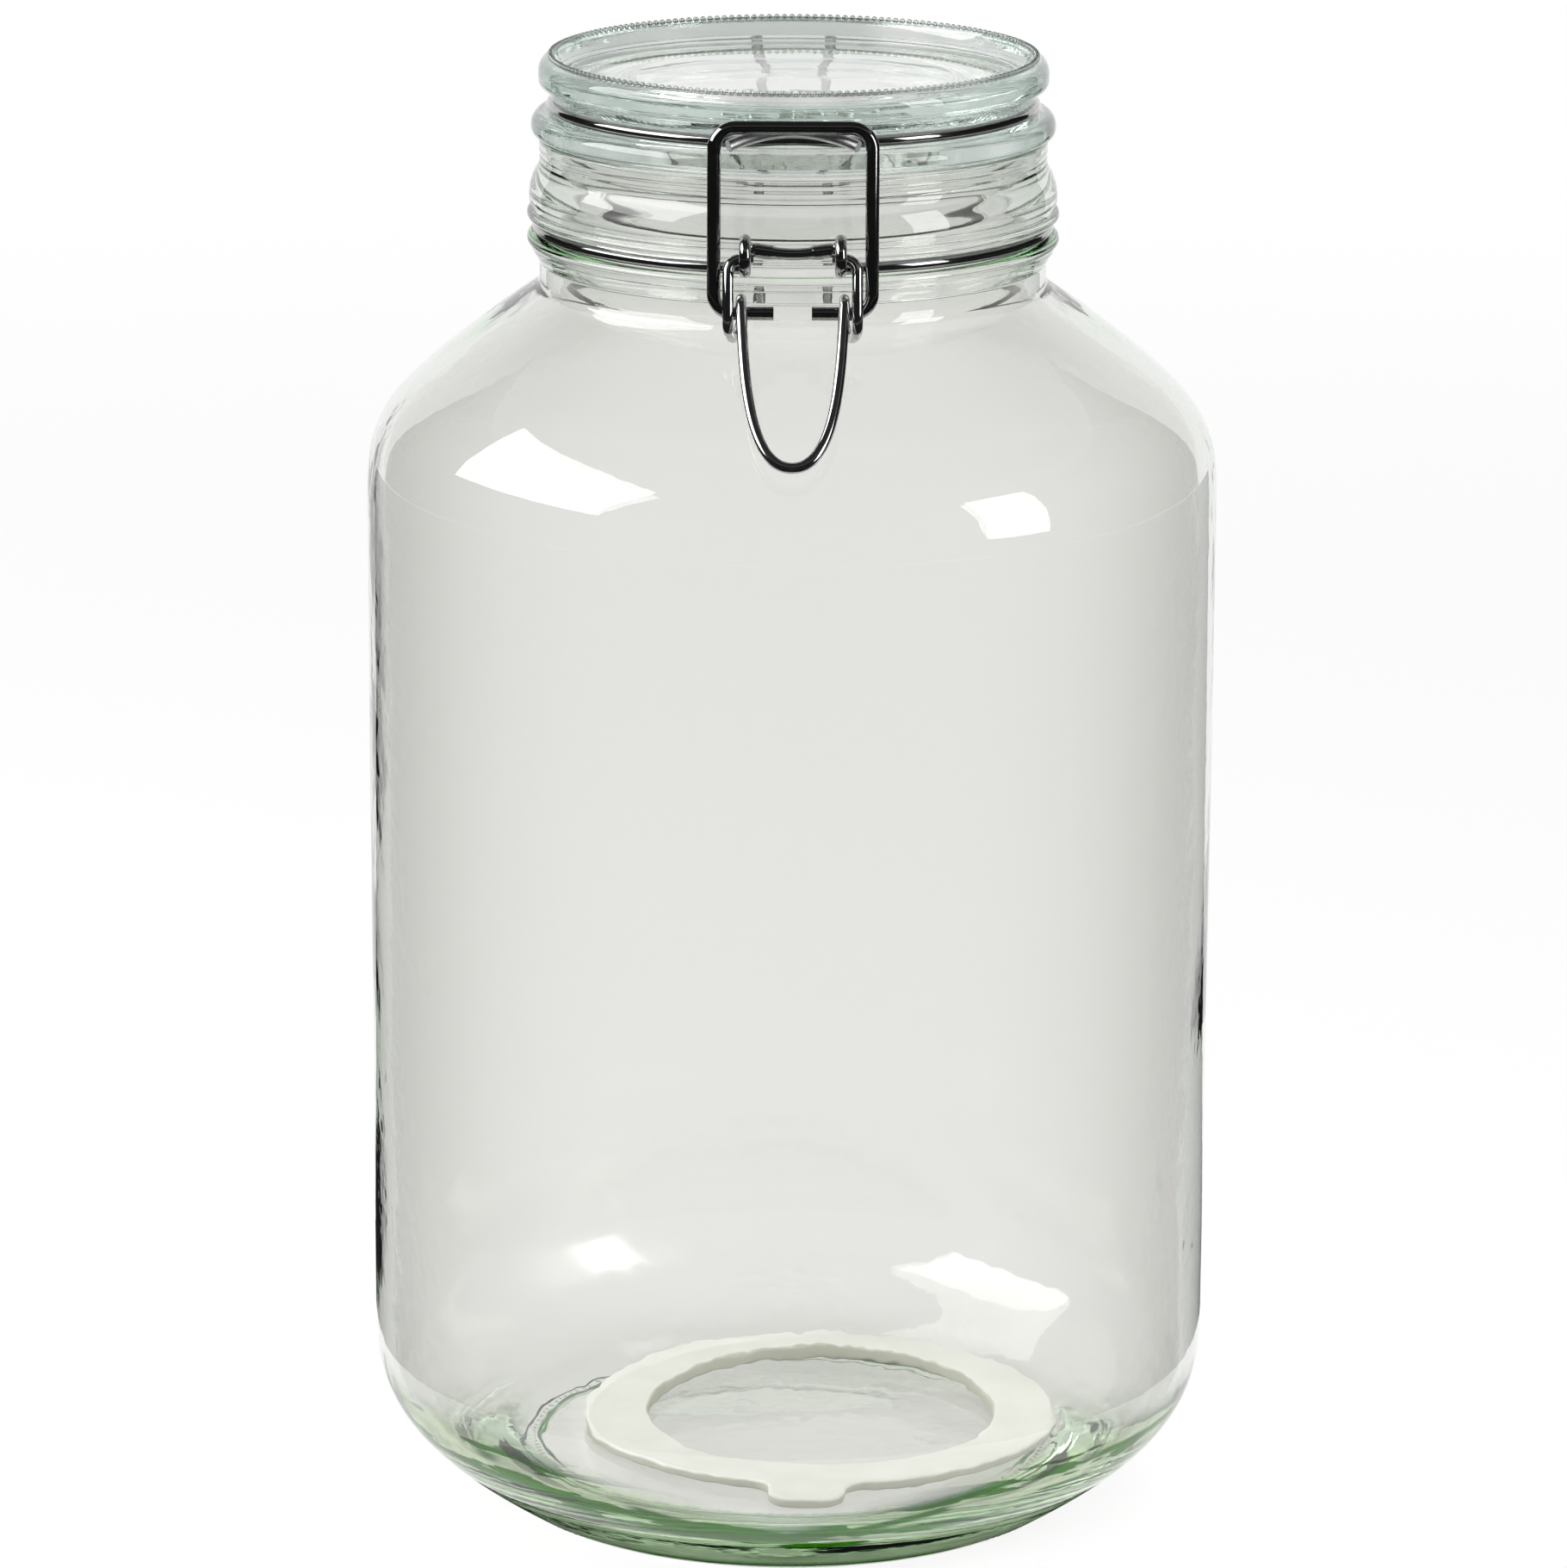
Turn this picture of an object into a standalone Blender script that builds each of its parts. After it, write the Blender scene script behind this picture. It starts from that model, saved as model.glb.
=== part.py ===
"""Airtight glass jar with a wire clamp, modelled in metres with +Z up.

The origin is the centre of the base on the surface that the jar stands on.
The clamp is at the front, towards -Y, and the lid's hinge is at the back, towards +Y.
"""

import math

import bmesh
import bpy
from mathutils import Matrix, Vector
from mathutils.geometry import intersect_point_line

MM = 0.001

# Jar body
BODY_RADIUS = 85.6 * MM
WALL_TAPER = 0.5 * MM
WALL = 3.8 * MM
STANDING_RADIUS = 55.8 * MM
STANDING_WIDTH = 2.8 * MM
PUSH_UP = 1.8 * MM
PUSH_UP_DOME = 1.4 * MM
FLOOR_HEIGHT = 13.0 * MM
FLOOR_CORNER = 22.0 * MM
HEEL_HEIGHT = 36.4 * MM
STRAIGHT_HEIGHT = 172.1 * MM
SHOULDER_HEIGHT = 45.1 * MM

# The heel and the shoulder are cubic curves, each pulled by two handles that are
# shares of the curve's width and height. The underside's dome is shares of its own.
HEEL_HANDLE_SHARES = ((0.67, 0.34), (1.0, 0.56))
SHOULDER_HANDLE_SHARES = ((0.98, 0.53), (1.0, 0.61))
DOME_SHARES = ((0.0, 1.0), (0.6, 0.5))

# Wires
NECK_WIRE = 2.3 * MM
LID_WIRE = 2.3 * MM
CATCH_WIRE = 2.4 * MM
BAIL_WIRE = 2.7 * MM
LEVER_WIRE = 2.2 * MM
BEND = 2.0 * MM

# Clearances
SEAT_GAP = 0.3 * MM
RUN_GAP = 0.3 * MM
GROOVE_PLAY = 0.4 * MM

# Jar neck: its radius and how far each form stands out from it, and what lies above what
NECK_RADIUS = 50.7 * MM
NECK_WALL = 4.6 * MM
NECK_FILLET = 2.2 * MM
LOWER_BEAD_RISE = 9.3 * MM
LOWER_BEAD_ROUND = 1.0 * MM
MIDDLE_BEAD_ROUND = 0.9 * MM
RING_BEAD_REACH = 2.5 * MM
BEAD_SPACING = 0.7 * MM
UPPER_BEAD_ROUND = 1.5 * MM
UPPER_BEAD_REACH = 2.1 * MM
LIP_RISE = 12.4 * MM
LIP_REACH = 0.1 * MM
LIP_FOOT_REACH = 0.9 * MM
LIP_ROUND = 0.9 * MM
NECK_RING_REACH = 0.3 * MM

# Gasket, lying on the jar's floor, but cut to seal on the lip
GASKET_INSET = 1.9 * MM
GASKET_WIDTH = 13.1 * MM
GASKET_THICKNESS = 2.8 * MM
GASKET_ROUND = 0.6 * MM
GASKET_SHIFT = 6.8 * MM
GASKET_STRETCH = 0.4 * MM
TAB_LENGTH = 10.0 * MM
TAB_WIDTH = 14.0 * MM
TAB_ROUND = 4.5 * MM
TAB_TURN_DEG = -3.2

# Lid
LID_BODY_HEIGHT = 16.3 * MM
FLANGE_REACH = 1.55 * MM
FLANGE_HEIGHT = 4.6 * MM
FLANGE_LOWER_ROUND = 1.5 * MM
FLANGE_UPPER_ROUND = 2.6 * MM
RIM_INSET = 1.45 * MM
RIM_FOOT_HEIGHT = 9.5 * MM
RIM_LOWER_ROUND = 1.6 * MM
RIM_BELLY_HEIGHT = 12.4 * MM
RIM_EDGE_INSET = 2.5 * MM
RIM_EDGE_ROUND = 0.5 * MM
PANEL_INSET = 4.7 * MM
PANEL_DEPTH = 4.1 * MM
PANEL_THICKNESS = 5.0 * MM
PLUG_WALL = 2.8 * MM
PLUG_DEPTH = 1.8 * MM
PLUG_ROUND = 0.7 * MM
PLUG_FILLET = 2.0 * MM
RECESS_SHARES = ((0.3, 0.8), (0.55, 1.0))

# Lid ring, in the groove between the flange and the rim, with its bulge at the front
LID_RING_INSET = 2.9 * MM
BULGE_SPREAD = 12.0 * MM
BULGE_REACH = 1.6 * MM
BULGE_RISE = 0.95 * MM

# Hinge at the back, measured from the neck's beads and from the neck ring
HINGE_REACH = 4.0 * MM
HINGE_RISE = 4.05 * MM
HINGE_LEG_SPREAD = 7.5 * MM
HINGE_AXLE_SPREAD = 11.5 * MM
HINGE_TAIL_DEG = 110.0

# Eyes and bridge at the front, measured in the same way
EYE_SPREAD = 9.25 * MM
EYE_REACH = 3.4 * MM
EYE_RISE = 3.65 * MM
EYE_RADIUS = 3.1 * MM
EYE_START_DEG = 70.0
EYE_END_DEG = 250.0
BRIDGE_SAG = 0.7 * MM
BRIDGE_REACH = 1.25 * MM
BRIDGE_TAB_START = 3.8 * MM
BRIDGE_SWELL_SHARE = 1.25

# Catch, welded to the lid ring's bulge
CATCH_SPREAD = 12.5 * MM
CATCH_REACH = 3.4 * MM
CATCH_DROP = 2.3 * MM
CATCH_LEAN_DEG = 43.5

# Bail, from its pins in the lever's loops up to its bar over the catch
BAIL_SPREAD = 15.3 * MM
BAIL_CORNER = 4.2 * MM
BAR_REACH = 3.45 * MM
BAR_RISE = 1.35 * MM
PIN_DROP = 10.5 * MM
PIN_REACH = 1.0 * MM
PIN_END = 3.7 * MM

# Lever
LEVER_PIN_END = 7.6 * MM
LEVER_SPREAD = 12.5 * MM
LEVER_CORNER = 2.4 * MM
LEVER_INNER_SPREAD = 10.0 * MM
LEVER_LOOP_DROP = 1.9 * MM
LEVER_LENGTH = 35.0 * MM
LEVER_STAND_OFF = 2.2 * MM
LEVER_OUTLINE_SHARES = ((0.07, 0.33), (0.08, 1.0))

# How finely round forms are divided
TURN_STEPS = 36
HALF_TURN_STEPS = 4
ROUND_STEPS = 3
CURVE_STEPS = 8
RING_STEPS = 26
EYE_STEPS = 9
BEND_STEPS = 4
LEAN_STEPS = 20
SHARP_DEG = 50.0
MERGE = 0.01 * MM

# Heights that follow from the sizes above, from the base up
SHOULDER_FOOT = HEEL_HEIGHT + STRAIGHT_HEIGHT
SHOULDER_TOP = SHOULDER_FOOT + SHOULDER_HEIGHT
LOWER_BEAD_HEIGHT = SHOULDER_TOP + LOWER_BEAD_RISE
GROOVE_WIDTH = NECK_WIRE + 2 * GROOVE_PLAY
NECK_RING_HEIGHT = LOWER_BEAD_HEIGHT + LOWER_BEAD_ROUND + GROOVE_WIDTH / 2
MIDDLE_BEAD_HEIGHT = NECK_RING_HEIGHT + GROOVE_WIDTH / 2 + MIDDLE_BEAD_ROUND
UPPER_BEAD_HEIGHT = MIDDLE_BEAD_HEIGHT + MIDDLE_BEAD_ROUND + BEAD_SPACING + UPPER_BEAD_ROUND
LIP_HEIGHT = UPPER_BEAD_HEIGHT + LIP_RISE
LID_BASE = LIP_HEIGHT + SEAT_GAP
LID_TOP = LID_BASE + LID_BODY_HEIGHT
LID_RING_HEIGHT = LID_BASE + FLANGE_HEIGHT + SEAT_GAP + LID_WIRE / 2
HINGE_HEIGHT = NECK_RING_HEIGHT + HINGE_RISE
EYE_HEIGHT = NECK_RING_HEIGHT + EYE_RISE
PIVOT_HEIGHT = EYE_HEIGHT - EYE_RADIUS + (NECK_WIRE + LEVER_WIRE) / 2 + RUN_GAP
PIN_HEIGHT = PIVOT_HEIGHT - PIN_DROP
WELD_REACH = (LID_WIRE + CATCH_WIRE) / 2 + SEAT_GAP
CATCH_HEIGHT = LID_RING_HEIGHT + BULGE_RISE + WELD_REACH * math.sin(math.radians(CATCH_LEAN_DEG))
BAR_HEIGHT = CATCH_HEIGHT + BAR_RISE

# Radii that follow, from the neck out
NECK_BORE = NECK_RADIUS - NECK_WALL
LIP_RADIUS = NECK_RADIUS + LIP_REACH
RING_BEAD_RADIUS = NECK_RADIUS + RING_BEAD_REACH
NECK_RING_RADIUS = NECK_RADIUS + NECK_RING_REACH
FLANGE_RADIUS = LIP_RADIUS + FLANGE_REACH
RIM_RADIUS = FLANGE_RADIUS - RIM_INSET
RIM_EDGE_RADIUS = RIM_RADIUS - RIM_EDGE_INSET
PANEL_RADIUS = RIM_EDGE_RADIUS - PANEL_INSET
LID_RING_RADIUS = RIM_RADIUS - LID_RING_INSET
GASKET_RADIUS = LIP_RADIUS - GASKET_INSET
GASKET_BORE = GASKET_RADIUS - GASKET_WIDTH
PLUG_RADIUS = GASKET_BORE + GASKET_STRETCH
HINGE_BACK = RING_BEAD_RADIUS + HINGE_REACH
EYE_FRONT = RING_BEAD_RADIUS + EYE_REACH
BRIDGE_FRONT = RING_BEAD_RADIUS + BRIDGE_REACH
PIN_FRONT = EYE_FRONT + PIN_REACH
CATCH_FRONT = LID_RING_RADIUS + BULGE_REACH + WELD_REACH * math.cos(math.radians(CATCH_LEAN_DEG))
BAR_FRONT = CATCH_FRONT + BAR_REACH


def arc(centre, radius, start_deg, end_deg, steps=ROUND_STEPS):
    """Points of a round stretch, as pairs in the plane of a profile."""
    points = []
    for step in range(steps + 1):
        turn = math.radians(start_deg + (end_deg - start_deg) * step / steps)
        points.append((centre[0] + radius * math.cos(turn), centre[1] + radius * math.sin(turn)))
    return points


def cubic(start, start_handle, end_handle, end, steps=CURVE_STEPS):
    """Points of a cubic curve between two points, pulled by two handles."""
    points = []
    for step in range(steps + 1):
        t = step / steps
        s = 1 - t
        weights = (s * s * s, 3 * s * s * t, 3 * s * t * t, t * t * t)
        corners = (start, start_handle, end_handle, end)
        points.append(
            tuple(sum(w * corner[i] for w, corner in zip(weights, corners)) for i in range(len(start)))
        )
    return points


def shared_cubic(start, end, shares):
    """A cubic curve whose handles are shares of the width and height between its ends."""
    handles = [
        (start[0] + (end[0] - start[0]) * across, start[1] + (end[1] - start[1]) * along)
        for across, along in shares
    ]
    return cubic(start, handles[0], handles[1], end)


def inset(points, depth):
    """The profile's points moved inwards by a wall's thickness, square to the profile."""
    moved = []
    for index, (radius, height) in enumerate(points):
        before = Vector(points[max(index - 1, 0)])
        after = Vector(points[min(index + 1, len(points) - 1)])
        along = (after - before).normalized()
        moved.append((radius - along.y * depth, height + along.x * depth))
    return moved


def bent(corners, radius, steps=BEND_STEPS):
    """A line through corners, each corner rounded to the bend's radius as far as its runs allow."""
    path = [Vector(corners[0])]
    for before, corner, after in zip(corners, corners[1:], corners[2:]):
        middle = Vector(corner)
        back = Vector(before) - middle
        ahead = Vector(after) - middle
        half = back.angle(ahead) / 2
        reach = min(radius / math.tan(half), back.length / 2, ahead.length / 2)
        centre = middle + (back.normalized() + ahead.normalized()).normalized() * reach / math.cos(half)
        first = middle + back.normalized() * reach - centre
        last = middle + ahead.normalized() * reach - centre
        for step in range(steps + 1):
            path.append(centre + first.normalized().slerp(last.normalized(), step / steps) * first.length)
    path.append(Vector(corners[-1]))
    return path


def material(name, colour, roughness, metallic=0.0, transmission=0.0):
    """A plain Principled finish."""
    finish = bpy.data.materials.new(name)
    finish.use_nodes = True
    shader = finish.node_tree.nodes["Principled BSDF"]
    shader.inputs["Base Color"].default_value = (*colour, 1.0)
    shader.inputs["Roughness"].default_value = roughness
    shader.inputs["Metallic"].default_value = metallic
    shader.inputs["Transmission Weight"].default_value = transmission
    return finish


def link(name, data, finish):
    """A named object in the scene with its own finish."""
    thing = bpy.data.objects.new(name, data)
    bpy.context.collection.objects.link(thing)
    data.materials.append(finish)
    return thing


def solid(name, work, finish):
    """An object from a finished bmesh, shaded smooth apart from its real edges."""
    bmesh.ops.remove_doubles(work, verts=work.verts, dist=MERGE)
    bmesh.ops.recalc_face_normals(work, faces=work.faces)
    mesh = bpy.data.meshes.new(name)
    work.to_mesh(mesh)
    work.free()
    mesh.shade_smooth()
    mesh.set_sharp_from_angle(angle=math.radians(SHARP_DEG))
    return link(name, mesh, finish)


def revolve(name, profile, finish):
    """A solid turned from a profile of radius and height pairs that starts and ends on the axis."""
    work = bmesh.new()
    verts = [work.verts.new((radius, 0, height)) for radius, height in profile]
    edges = [work.edges.new(pair) for pair in zip(verts, verts[1:])]
    bmesh.ops.spin(
        work, geom=verts + edges, cent=(0, 0, 0), axis=(0, 0, 1), angle=math.tau, steps=TURN_STEPS
    )
    return solid(name, work, finish)


def wire(name, path, thickness, finish, closed=False, swell=None):
    """A round wire bent along a path."""
    curve = bpy.data.curves.new(name, "CURVE")
    curve.dimensions = "3D"
    curve.bevel_depth = thickness / 2
    curve.bevel_resolution = 2
    curve.resolution_u = 1
    curve.render_resolution_u = 0
    curve.use_fill_caps = True
    spline = curve.splines.new("POLY")
    spline.points.add(len(path) - 1)
    spline.use_smooth = True
    spline.use_cyclic_u = closed
    for index, point in enumerate(path):
        spline.points[index].co = (*point, 1.0)
        if swell:
            spline.points[index].radius = swell[index]
    return link(name, curve, finish)


def mirrored(half):
    """A wire's whole path from its half on the +X side, which starts on the middle plane."""
    other = [Vector((-point[0], point[1], point[2])) for point in reversed(half[1:])]
    return other + [Vector(point) for point in half]


def standing_outline():
    """The jar's underside, from the axis out to the ring that it stands on."""
    inner = STANDING_RADIUS - STANDING_WIDTH
    dome = [(inner * across, PUSH_UP + PUSH_UP_DOME * along) for across, along in DOME_SHARES]
    return dome + [(inner - PUSH_UP, PUSH_UP), (inner, 0)]


def bead(height, rounding, radius):
    """A rounded ring round the neck, from its foot to its top."""
    return arc((radius - rounding, height), rounding, -90, 90, HALF_TURN_STEPS)


def neck_outline():
    """The outside of the neck, from the shoulder's top to the lip."""
    groove = NECK_RING_RADIUS - NECK_WIRE / 2 - SEAT_GAP
    low = LOWER_BEAD_HEIGHT
    mid = MIDDLE_BEAD_HEIGHT
    half = GROOVE_WIDTH / 2
    return (
        [(NECK_RADIUS, low - LOWER_BEAD_ROUND - NECK_FILLET)]
        + bead(low, LOWER_BEAD_ROUND, RING_BEAD_RADIUS)
        + arc((groove + half, NECK_RING_HEIGHT), half, 270, 90, HALF_TURN_STEPS)
        + bead(mid, MIDDLE_BEAD_ROUND, RING_BEAD_RADIUS)
        + bead(UPPER_BEAD_HEIGHT, UPPER_BEAD_ROUND, NECK_RADIUS + UPPER_BEAD_REACH)
        + [(NECK_RADIUS + LIP_FOOT_REACH, UPPER_BEAD_HEIGHT + UPPER_BEAD_ROUND + LIP_ROUND)]
        + arc((LIP_RADIUS - LIP_ROUND, LIP_HEIGHT - LIP_ROUND), LIP_ROUND, 0, 90)
    )


def shoulder_outline():
    """The outside of the shoulder, from the neck down to the straight wall."""
    return shared_cubic((NECK_RADIUS, SHOULDER_TOP), (BODY_RADIUS, SHOULDER_FOOT), SHOULDER_HANDLE_SHARES)


def inner_corner():
    """The middle of the round corner between the inside wall and the floor."""
    return (BODY_RADIUS - WALL_TAPER - WALL - FLOOR_CORNER, FLOOR_HEIGHT + FLOOR_CORNER)


def jar_profile():
    """The jar's whole section: up the outside and down the inside."""
    heel_top = (BODY_RADIUS - WALL_TAPER, HEEL_HEIGHT)
    heel = shared_cubic((STANDING_RADIUS, 0), heel_top, HEEL_HANDLE_SHARES)
    shoulder = shoulder_outline()[::-1]
    inner_shoulder = [point for point in inset(shoulder, WALL) if point[0] > NECK_BORE]
    foot = bent(
        [shoulder[-2], (NECK_RADIUS, SHOULDER_TOP), (NECK_RADIUS, SHOULDER_TOP + 2 * NECK_FILLET)],
        NECK_FILLET,
    )
    outside = standing_outline() + heel + shoulder[:-2]
    outside += [tuple(point) for point in foot[:-1]] + neck_outline()
    inside = (
        arc((NECK_BORE + LIP_ROUND, LIP_HEIGHT - LIP_ROUND), LIP_ROUND, 90, 180)
        + [(NECK_BORE, inner_shoulder[-1][1] + NECK_FILLET)]
        + inner_shoulder[::-1]
        + arc(inner_corner(), FLOOR_CORNER, 0, -90, CURVE_STEPS)
        + [(0, FLOOR_HEIGHT)]
    )
    return outside + inside


def lid_profile():
    """The lid's section: out along the underside, up the edge and in over the top."""
    base = LID_BASE
    groove = LID_RING_RADIUS - LID_WIRE / 2 - SEAT_GAP
    flange_top = base + FLANGE_HEIGHT
    rim_foot = base + RIM_FOOT_HEIGHT
    belly = base + RIM_BELLY_HEIGHT
    edge = LID_TOP - RIM_EDGE_ROUND
    panel = LID_TOP - PANEL_DEPTH
    plug_foot = base - PLUG_DEPTH
    plug_bore = PLUG_RADIUS - PLUG_WALL
    half = (LID_WIRE + 2 * SEAT_GAP) / 2
    flange_low = (FLANGE_RADIUS - FLANGE_LOWER_ROUND, base + FLANGE_LOWER_ROUND)
    flange_high = (FLANGE_RADIUS - FLANGE_UPPER_ROUND, flange_top - FLANGE_UPPER_ROUND)
    edge_outer = RIM_EDGE_RADIUS + RIM_EDGE_ROUND
    edge_inner = RIM_EDGE_RADIUS - RIM_EDGE_ROUND
    belly_shares = ((math.cos(math.radians(a)), math.sin(math.radians(a))) for a in (0, 22, 45, 68))
    return (
        [(0, panel - PANEL_THICKNESS)]
        + arc((plug_bore - PLUG_FILLET, panel - PANEL_THICKNESS - PLUG_FILLET), PLUG_FILLET, 90, 0)
        + arc((plug_bore + PLUG_ROUND, plug_foot + PLUG_ROUND), PLUG_ROUND, 180, 270, 2)
        + arc((PLUG_RADIUS - PLUG_ROUND, plug_foot + PLUG_ROUND), PLUG_ROUND, 270, 360, 2)
        + [(PLUG_RADIUS, base)]
        + arc(flange_low, FLANGE_LOWER_ROUND, -90, 0)
        + arc(flange_high, FLANGE_UPPER_ROUND, 0, 90)
        + arc((groove + half, flange_top + half), half, 270, 90, HALF_TURN_STEPS)
        + arc((RIM_RADIUS - RIM_LOWER_ROUND, rim_foot + RIM_LOWER_ROUND), RIM_LOWER_ROUND, -90, 0)
        + [
            (edge_outer + (RIM_RADIUS - edge_outer) * across, belly + (edge - belly) * along)
            for across, along in belly_shares
        ]
        + arc((RIM_EDGE_RADIUS, edge), RIM_EDGE_ROUND, 0, 180, HALF_TURN_STEPS)
        + shared_cubic((edge_inner, edge), (PANEL_RADIUS, panel), RECESS_SHARES)
        + [(0, panel)]
    )


def ring_point(radius, height, turn):
    """A point on a level ring, turned from the front towards +X."""
    return Vector((radius * math.sin(turn), -radius * math.cos(turn), height))


def bridge_swell(point):
    """How much thicker the neck ring is at a point: its bridge is pressed thick beside each eye."""
    side = abs(point.x)
    in_front = point.y < BRIDGE_SAG - BRIDGE_FRONT
    return BRIDGE_SWELL_SHARE if in_front and BRIDGE_TAB_START < side < EYE_SPREAD - BEND / 2 else 1


def bail_pivot():
    """Where the bail's pins lie in the lever's loops, as depth and height."""
    return (-PIN_FRONT, PIN_HEIGHT)


def lever_pivot():
    """Where the lever's pins lie, low in the eyes, as depth and height."""
    return (-EYE_FRONT, PIVOT_HEIGHT)


def eye_points(middle, radius, start_deg, end_deg):
    """Points round an eye that stands in a plane square to X."""
    flat = arc((middle[1], middle[2]), radius, start_deg, end_deg, EYE_STEPS)
    return [Vector((middle[0], across, height)) for across, height in flat]


def lid_ring_path():
    """Right half of the lid's wire: round the groove, down a hinge leg and round the axle."""
    half = []
    last = math.pi - math.asin((HINGE_LEG_SPREAD + BEND) / LID_RING_RADIUS)
    for step in range(RING_STEPS + 1):
        turn = last * step / RING_STEPS
        side = LID_RING_RADIUS * math.sin(turn) / BULGE_SPREAD
        near = turn < math.pi / 2 and side < 1
        swell = math.cos(side * math.pi / 2) ** 2 if near else 0
        radius = LID_RING_RADIUS + BULGE_REACH * swell
        half.append(ring_point(radius, LID_RING_HEIGHT + BULGE_RISE * swell, turn))
    coil = LID_WIRE / 2 + NECK_WIRE / 2 + RUN_GAP
    leg = HINGE_BACK - coil
    inner = math.sqrt(LID_RING_RADIUS ** 2 - HINGE_LEG_SPREAD ** 2)
    half += bent(
        [
            half.pop(),
            (HINGE_LEG_SPREAD, inner, LID_RING_HEIGHT),
            (HINGE_LEG_SPREAD, leg, LID_RING_HEIGHT),
            (HINGE_LEG_SPREAD, leg, HINGE_HEIGHT + BEND),
        ],
        BEND,
    )
    axle = (HINGE_LEG_SPREAD, HINGE_BACK, HINGE_HEIGHT)
    half += eye_points(axle, coil, 180, 360 + HINGE_TAIL_DEG)
    return half


def neck_ring_path():
    """Right half of the neck's wire: bridge, eye, groove and hinge axle, with its swell at each point."""
    eye = (EYE_SPREAD, -EYE_FRONT, EYE_HEIGHT)
    bridge_end = (EYE_SPREAD - BEND, -BRIDGE_FRONT + BRIDGE_SAG / 2, EYE_HEIGHT + BRIDGE_SAG)
    eye_run = eye_points(eye, EYE_RADIUS, EYE_START_DEG, EYE_END_DEG)
    start = math.radians(EYE_START_DEG)
    rise = Vector((0, -math.sin(start), math.cos(start)))
    bridge = cubic(
        (0, -BRIDGE_FRONT, EYE_HEIGHT),
        (EYE_SPREAD / 4, -BRIDGE_FRONT, EYE_HEIGHT),
        (EYE_SPREAD / 2, bridge_end[1], EYE_HEIGHT + BRIDGE_SAG / 2),
        bridge_end,
        5,
    )
    turn_up = cubic(
        bridge_end,
        (EYE_SPREAD, bridge_end[1], bridge_end[2] + BRIDGE_SAG / 2),
        eye_run[0] - rise * BEND / 2,
        eye_run[0],
        ROUND_STEPS,
    )
    out = NECK_RING_RADIUS + BEND
    level = NECK_RING_HEIGHT
    first = math.asin((EYE_SPREAD + BEND * 2) / NECK_RING_RADIUS)
    last = math.pi - math.asin((HINGE_AXLE_SPREAD + BEND) / NECK_RING_RADIUS)
    leave = math.sqrt(NECK_RING_RADIUS ** 2 - EYE_SPREAD ** 2)
    half = bridge[:-1] + turn_up[:-1] + eye_run[:-1]
    half += bent(
        [
            eye_run[-1],
            (EYE_SPREAD, -EYE_FRONT + BEND, level),
            (EYE_SPREAD, -leave, level),
            ring_point(NECK_RING_RADIUS, level, first),
        ],
        BEND / 2,
        3,
    )[:-1]
    half += [
        ring_point(NECK_RING_RADIUS, level, first + (last - first) * step / RING_STEPS)
        for step in range(RING_STEPS)
    ]
    back = math.sqrt(out ** 2 - HINGE_AXLE_SPREAD ** 2)
    half += bent(
        [
            ring_point(NECK_RING_RADIUS, level, last),
            (HINGE_AXLE_SPREAD, back, level),
            (HINGE_AXLE_SPREAD, HINGE_BACK, level),
            (HINGE_AXLE_SPREAD, HINGE_BACK, HINGE_HEIGHT),
            (0, HINGE_BACK, HINGE_HEIGHT),
        ],
        BEND,
    )
    return half


def bail_path():
    """Right half of the bail: half its top bar, a leg and a pin turned in under the lever."""
    bar = (-BAR_FRONT, BAR_HEIGHT)
    pin = bail_pivot()
    middle = ((bar[0] + pin[0]) / 2, (bar[1] + pin[1]) / 2)
    upper = bent([(0, *bar), (BAIL_SPREAD, *bar), (BAIL_SPREAD, *middle)], BAIL_CORNER, 6)
    lower = bent([(BAIL_SPREAD, *middle), (BAIL_SPREAD, *pin), (PIN_END, *pin)], BEND, 5)
    return upper[:-1] + lower


def catch_path():
    """Right half of the catch: a short arched wire whose end reaches out and down under the bar."""
    half = []
    for step in range(BEND_STEPS + 1):
        share = step / BEND_STEPS
        half.append(
            (
                CATCH_SPREAD * share,
                -CATCH_FRONT - CATCH_REACH * share * share,
                CATCH_HEIGHT - CATCH_DROP * share * share,
            )
        )
    return half


def handle_line(pin, coil, lean):
    """Where the handle leaves its loop and which way it then runs, in depth and height."""
    down = Vector((-math.sin(lean), -math.cos(lean)))
    return pin + Vector((-math.cos(lean), math.sin(lean))) * coil, down


def off_shoulder(point):
    """How far a point, in depth and height, stands off the shoulder, or less than zero inside it."""
    outline = [Vector((-radius, height)) for radius, height in shoulder_outline()]
    nearest = []
    for upper, lower in zip(outline, outline[1:]):
        share = intersect_point_line(point, upper, lower)[1]
        away = point - upper.lerp(lower, min(max(share, 0), 1))
        outside = (lower - upper).cross(away) < 0
        nearest.append((away.length, outside))
    distance, outside = min(nearest)
    return distance if outside else -distance


def lever_lean(pin, coil):
    """How far the handle leans out from the upright, so that its tip stands off the shoulder."""
    low = 0
    high = math.pi / 2
    for _ in range(LEAN_STEPS):
        lean = (low + high) / 2
        crest, down = handle_line(pin, coil, lean)
        if off_shoulder(crest + down * LEVER_LENGTH) > LEVER_STAND_OFF + LEVER_WIRE / 2:
            high = lean
        else:
            low = lean
    return high


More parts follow.
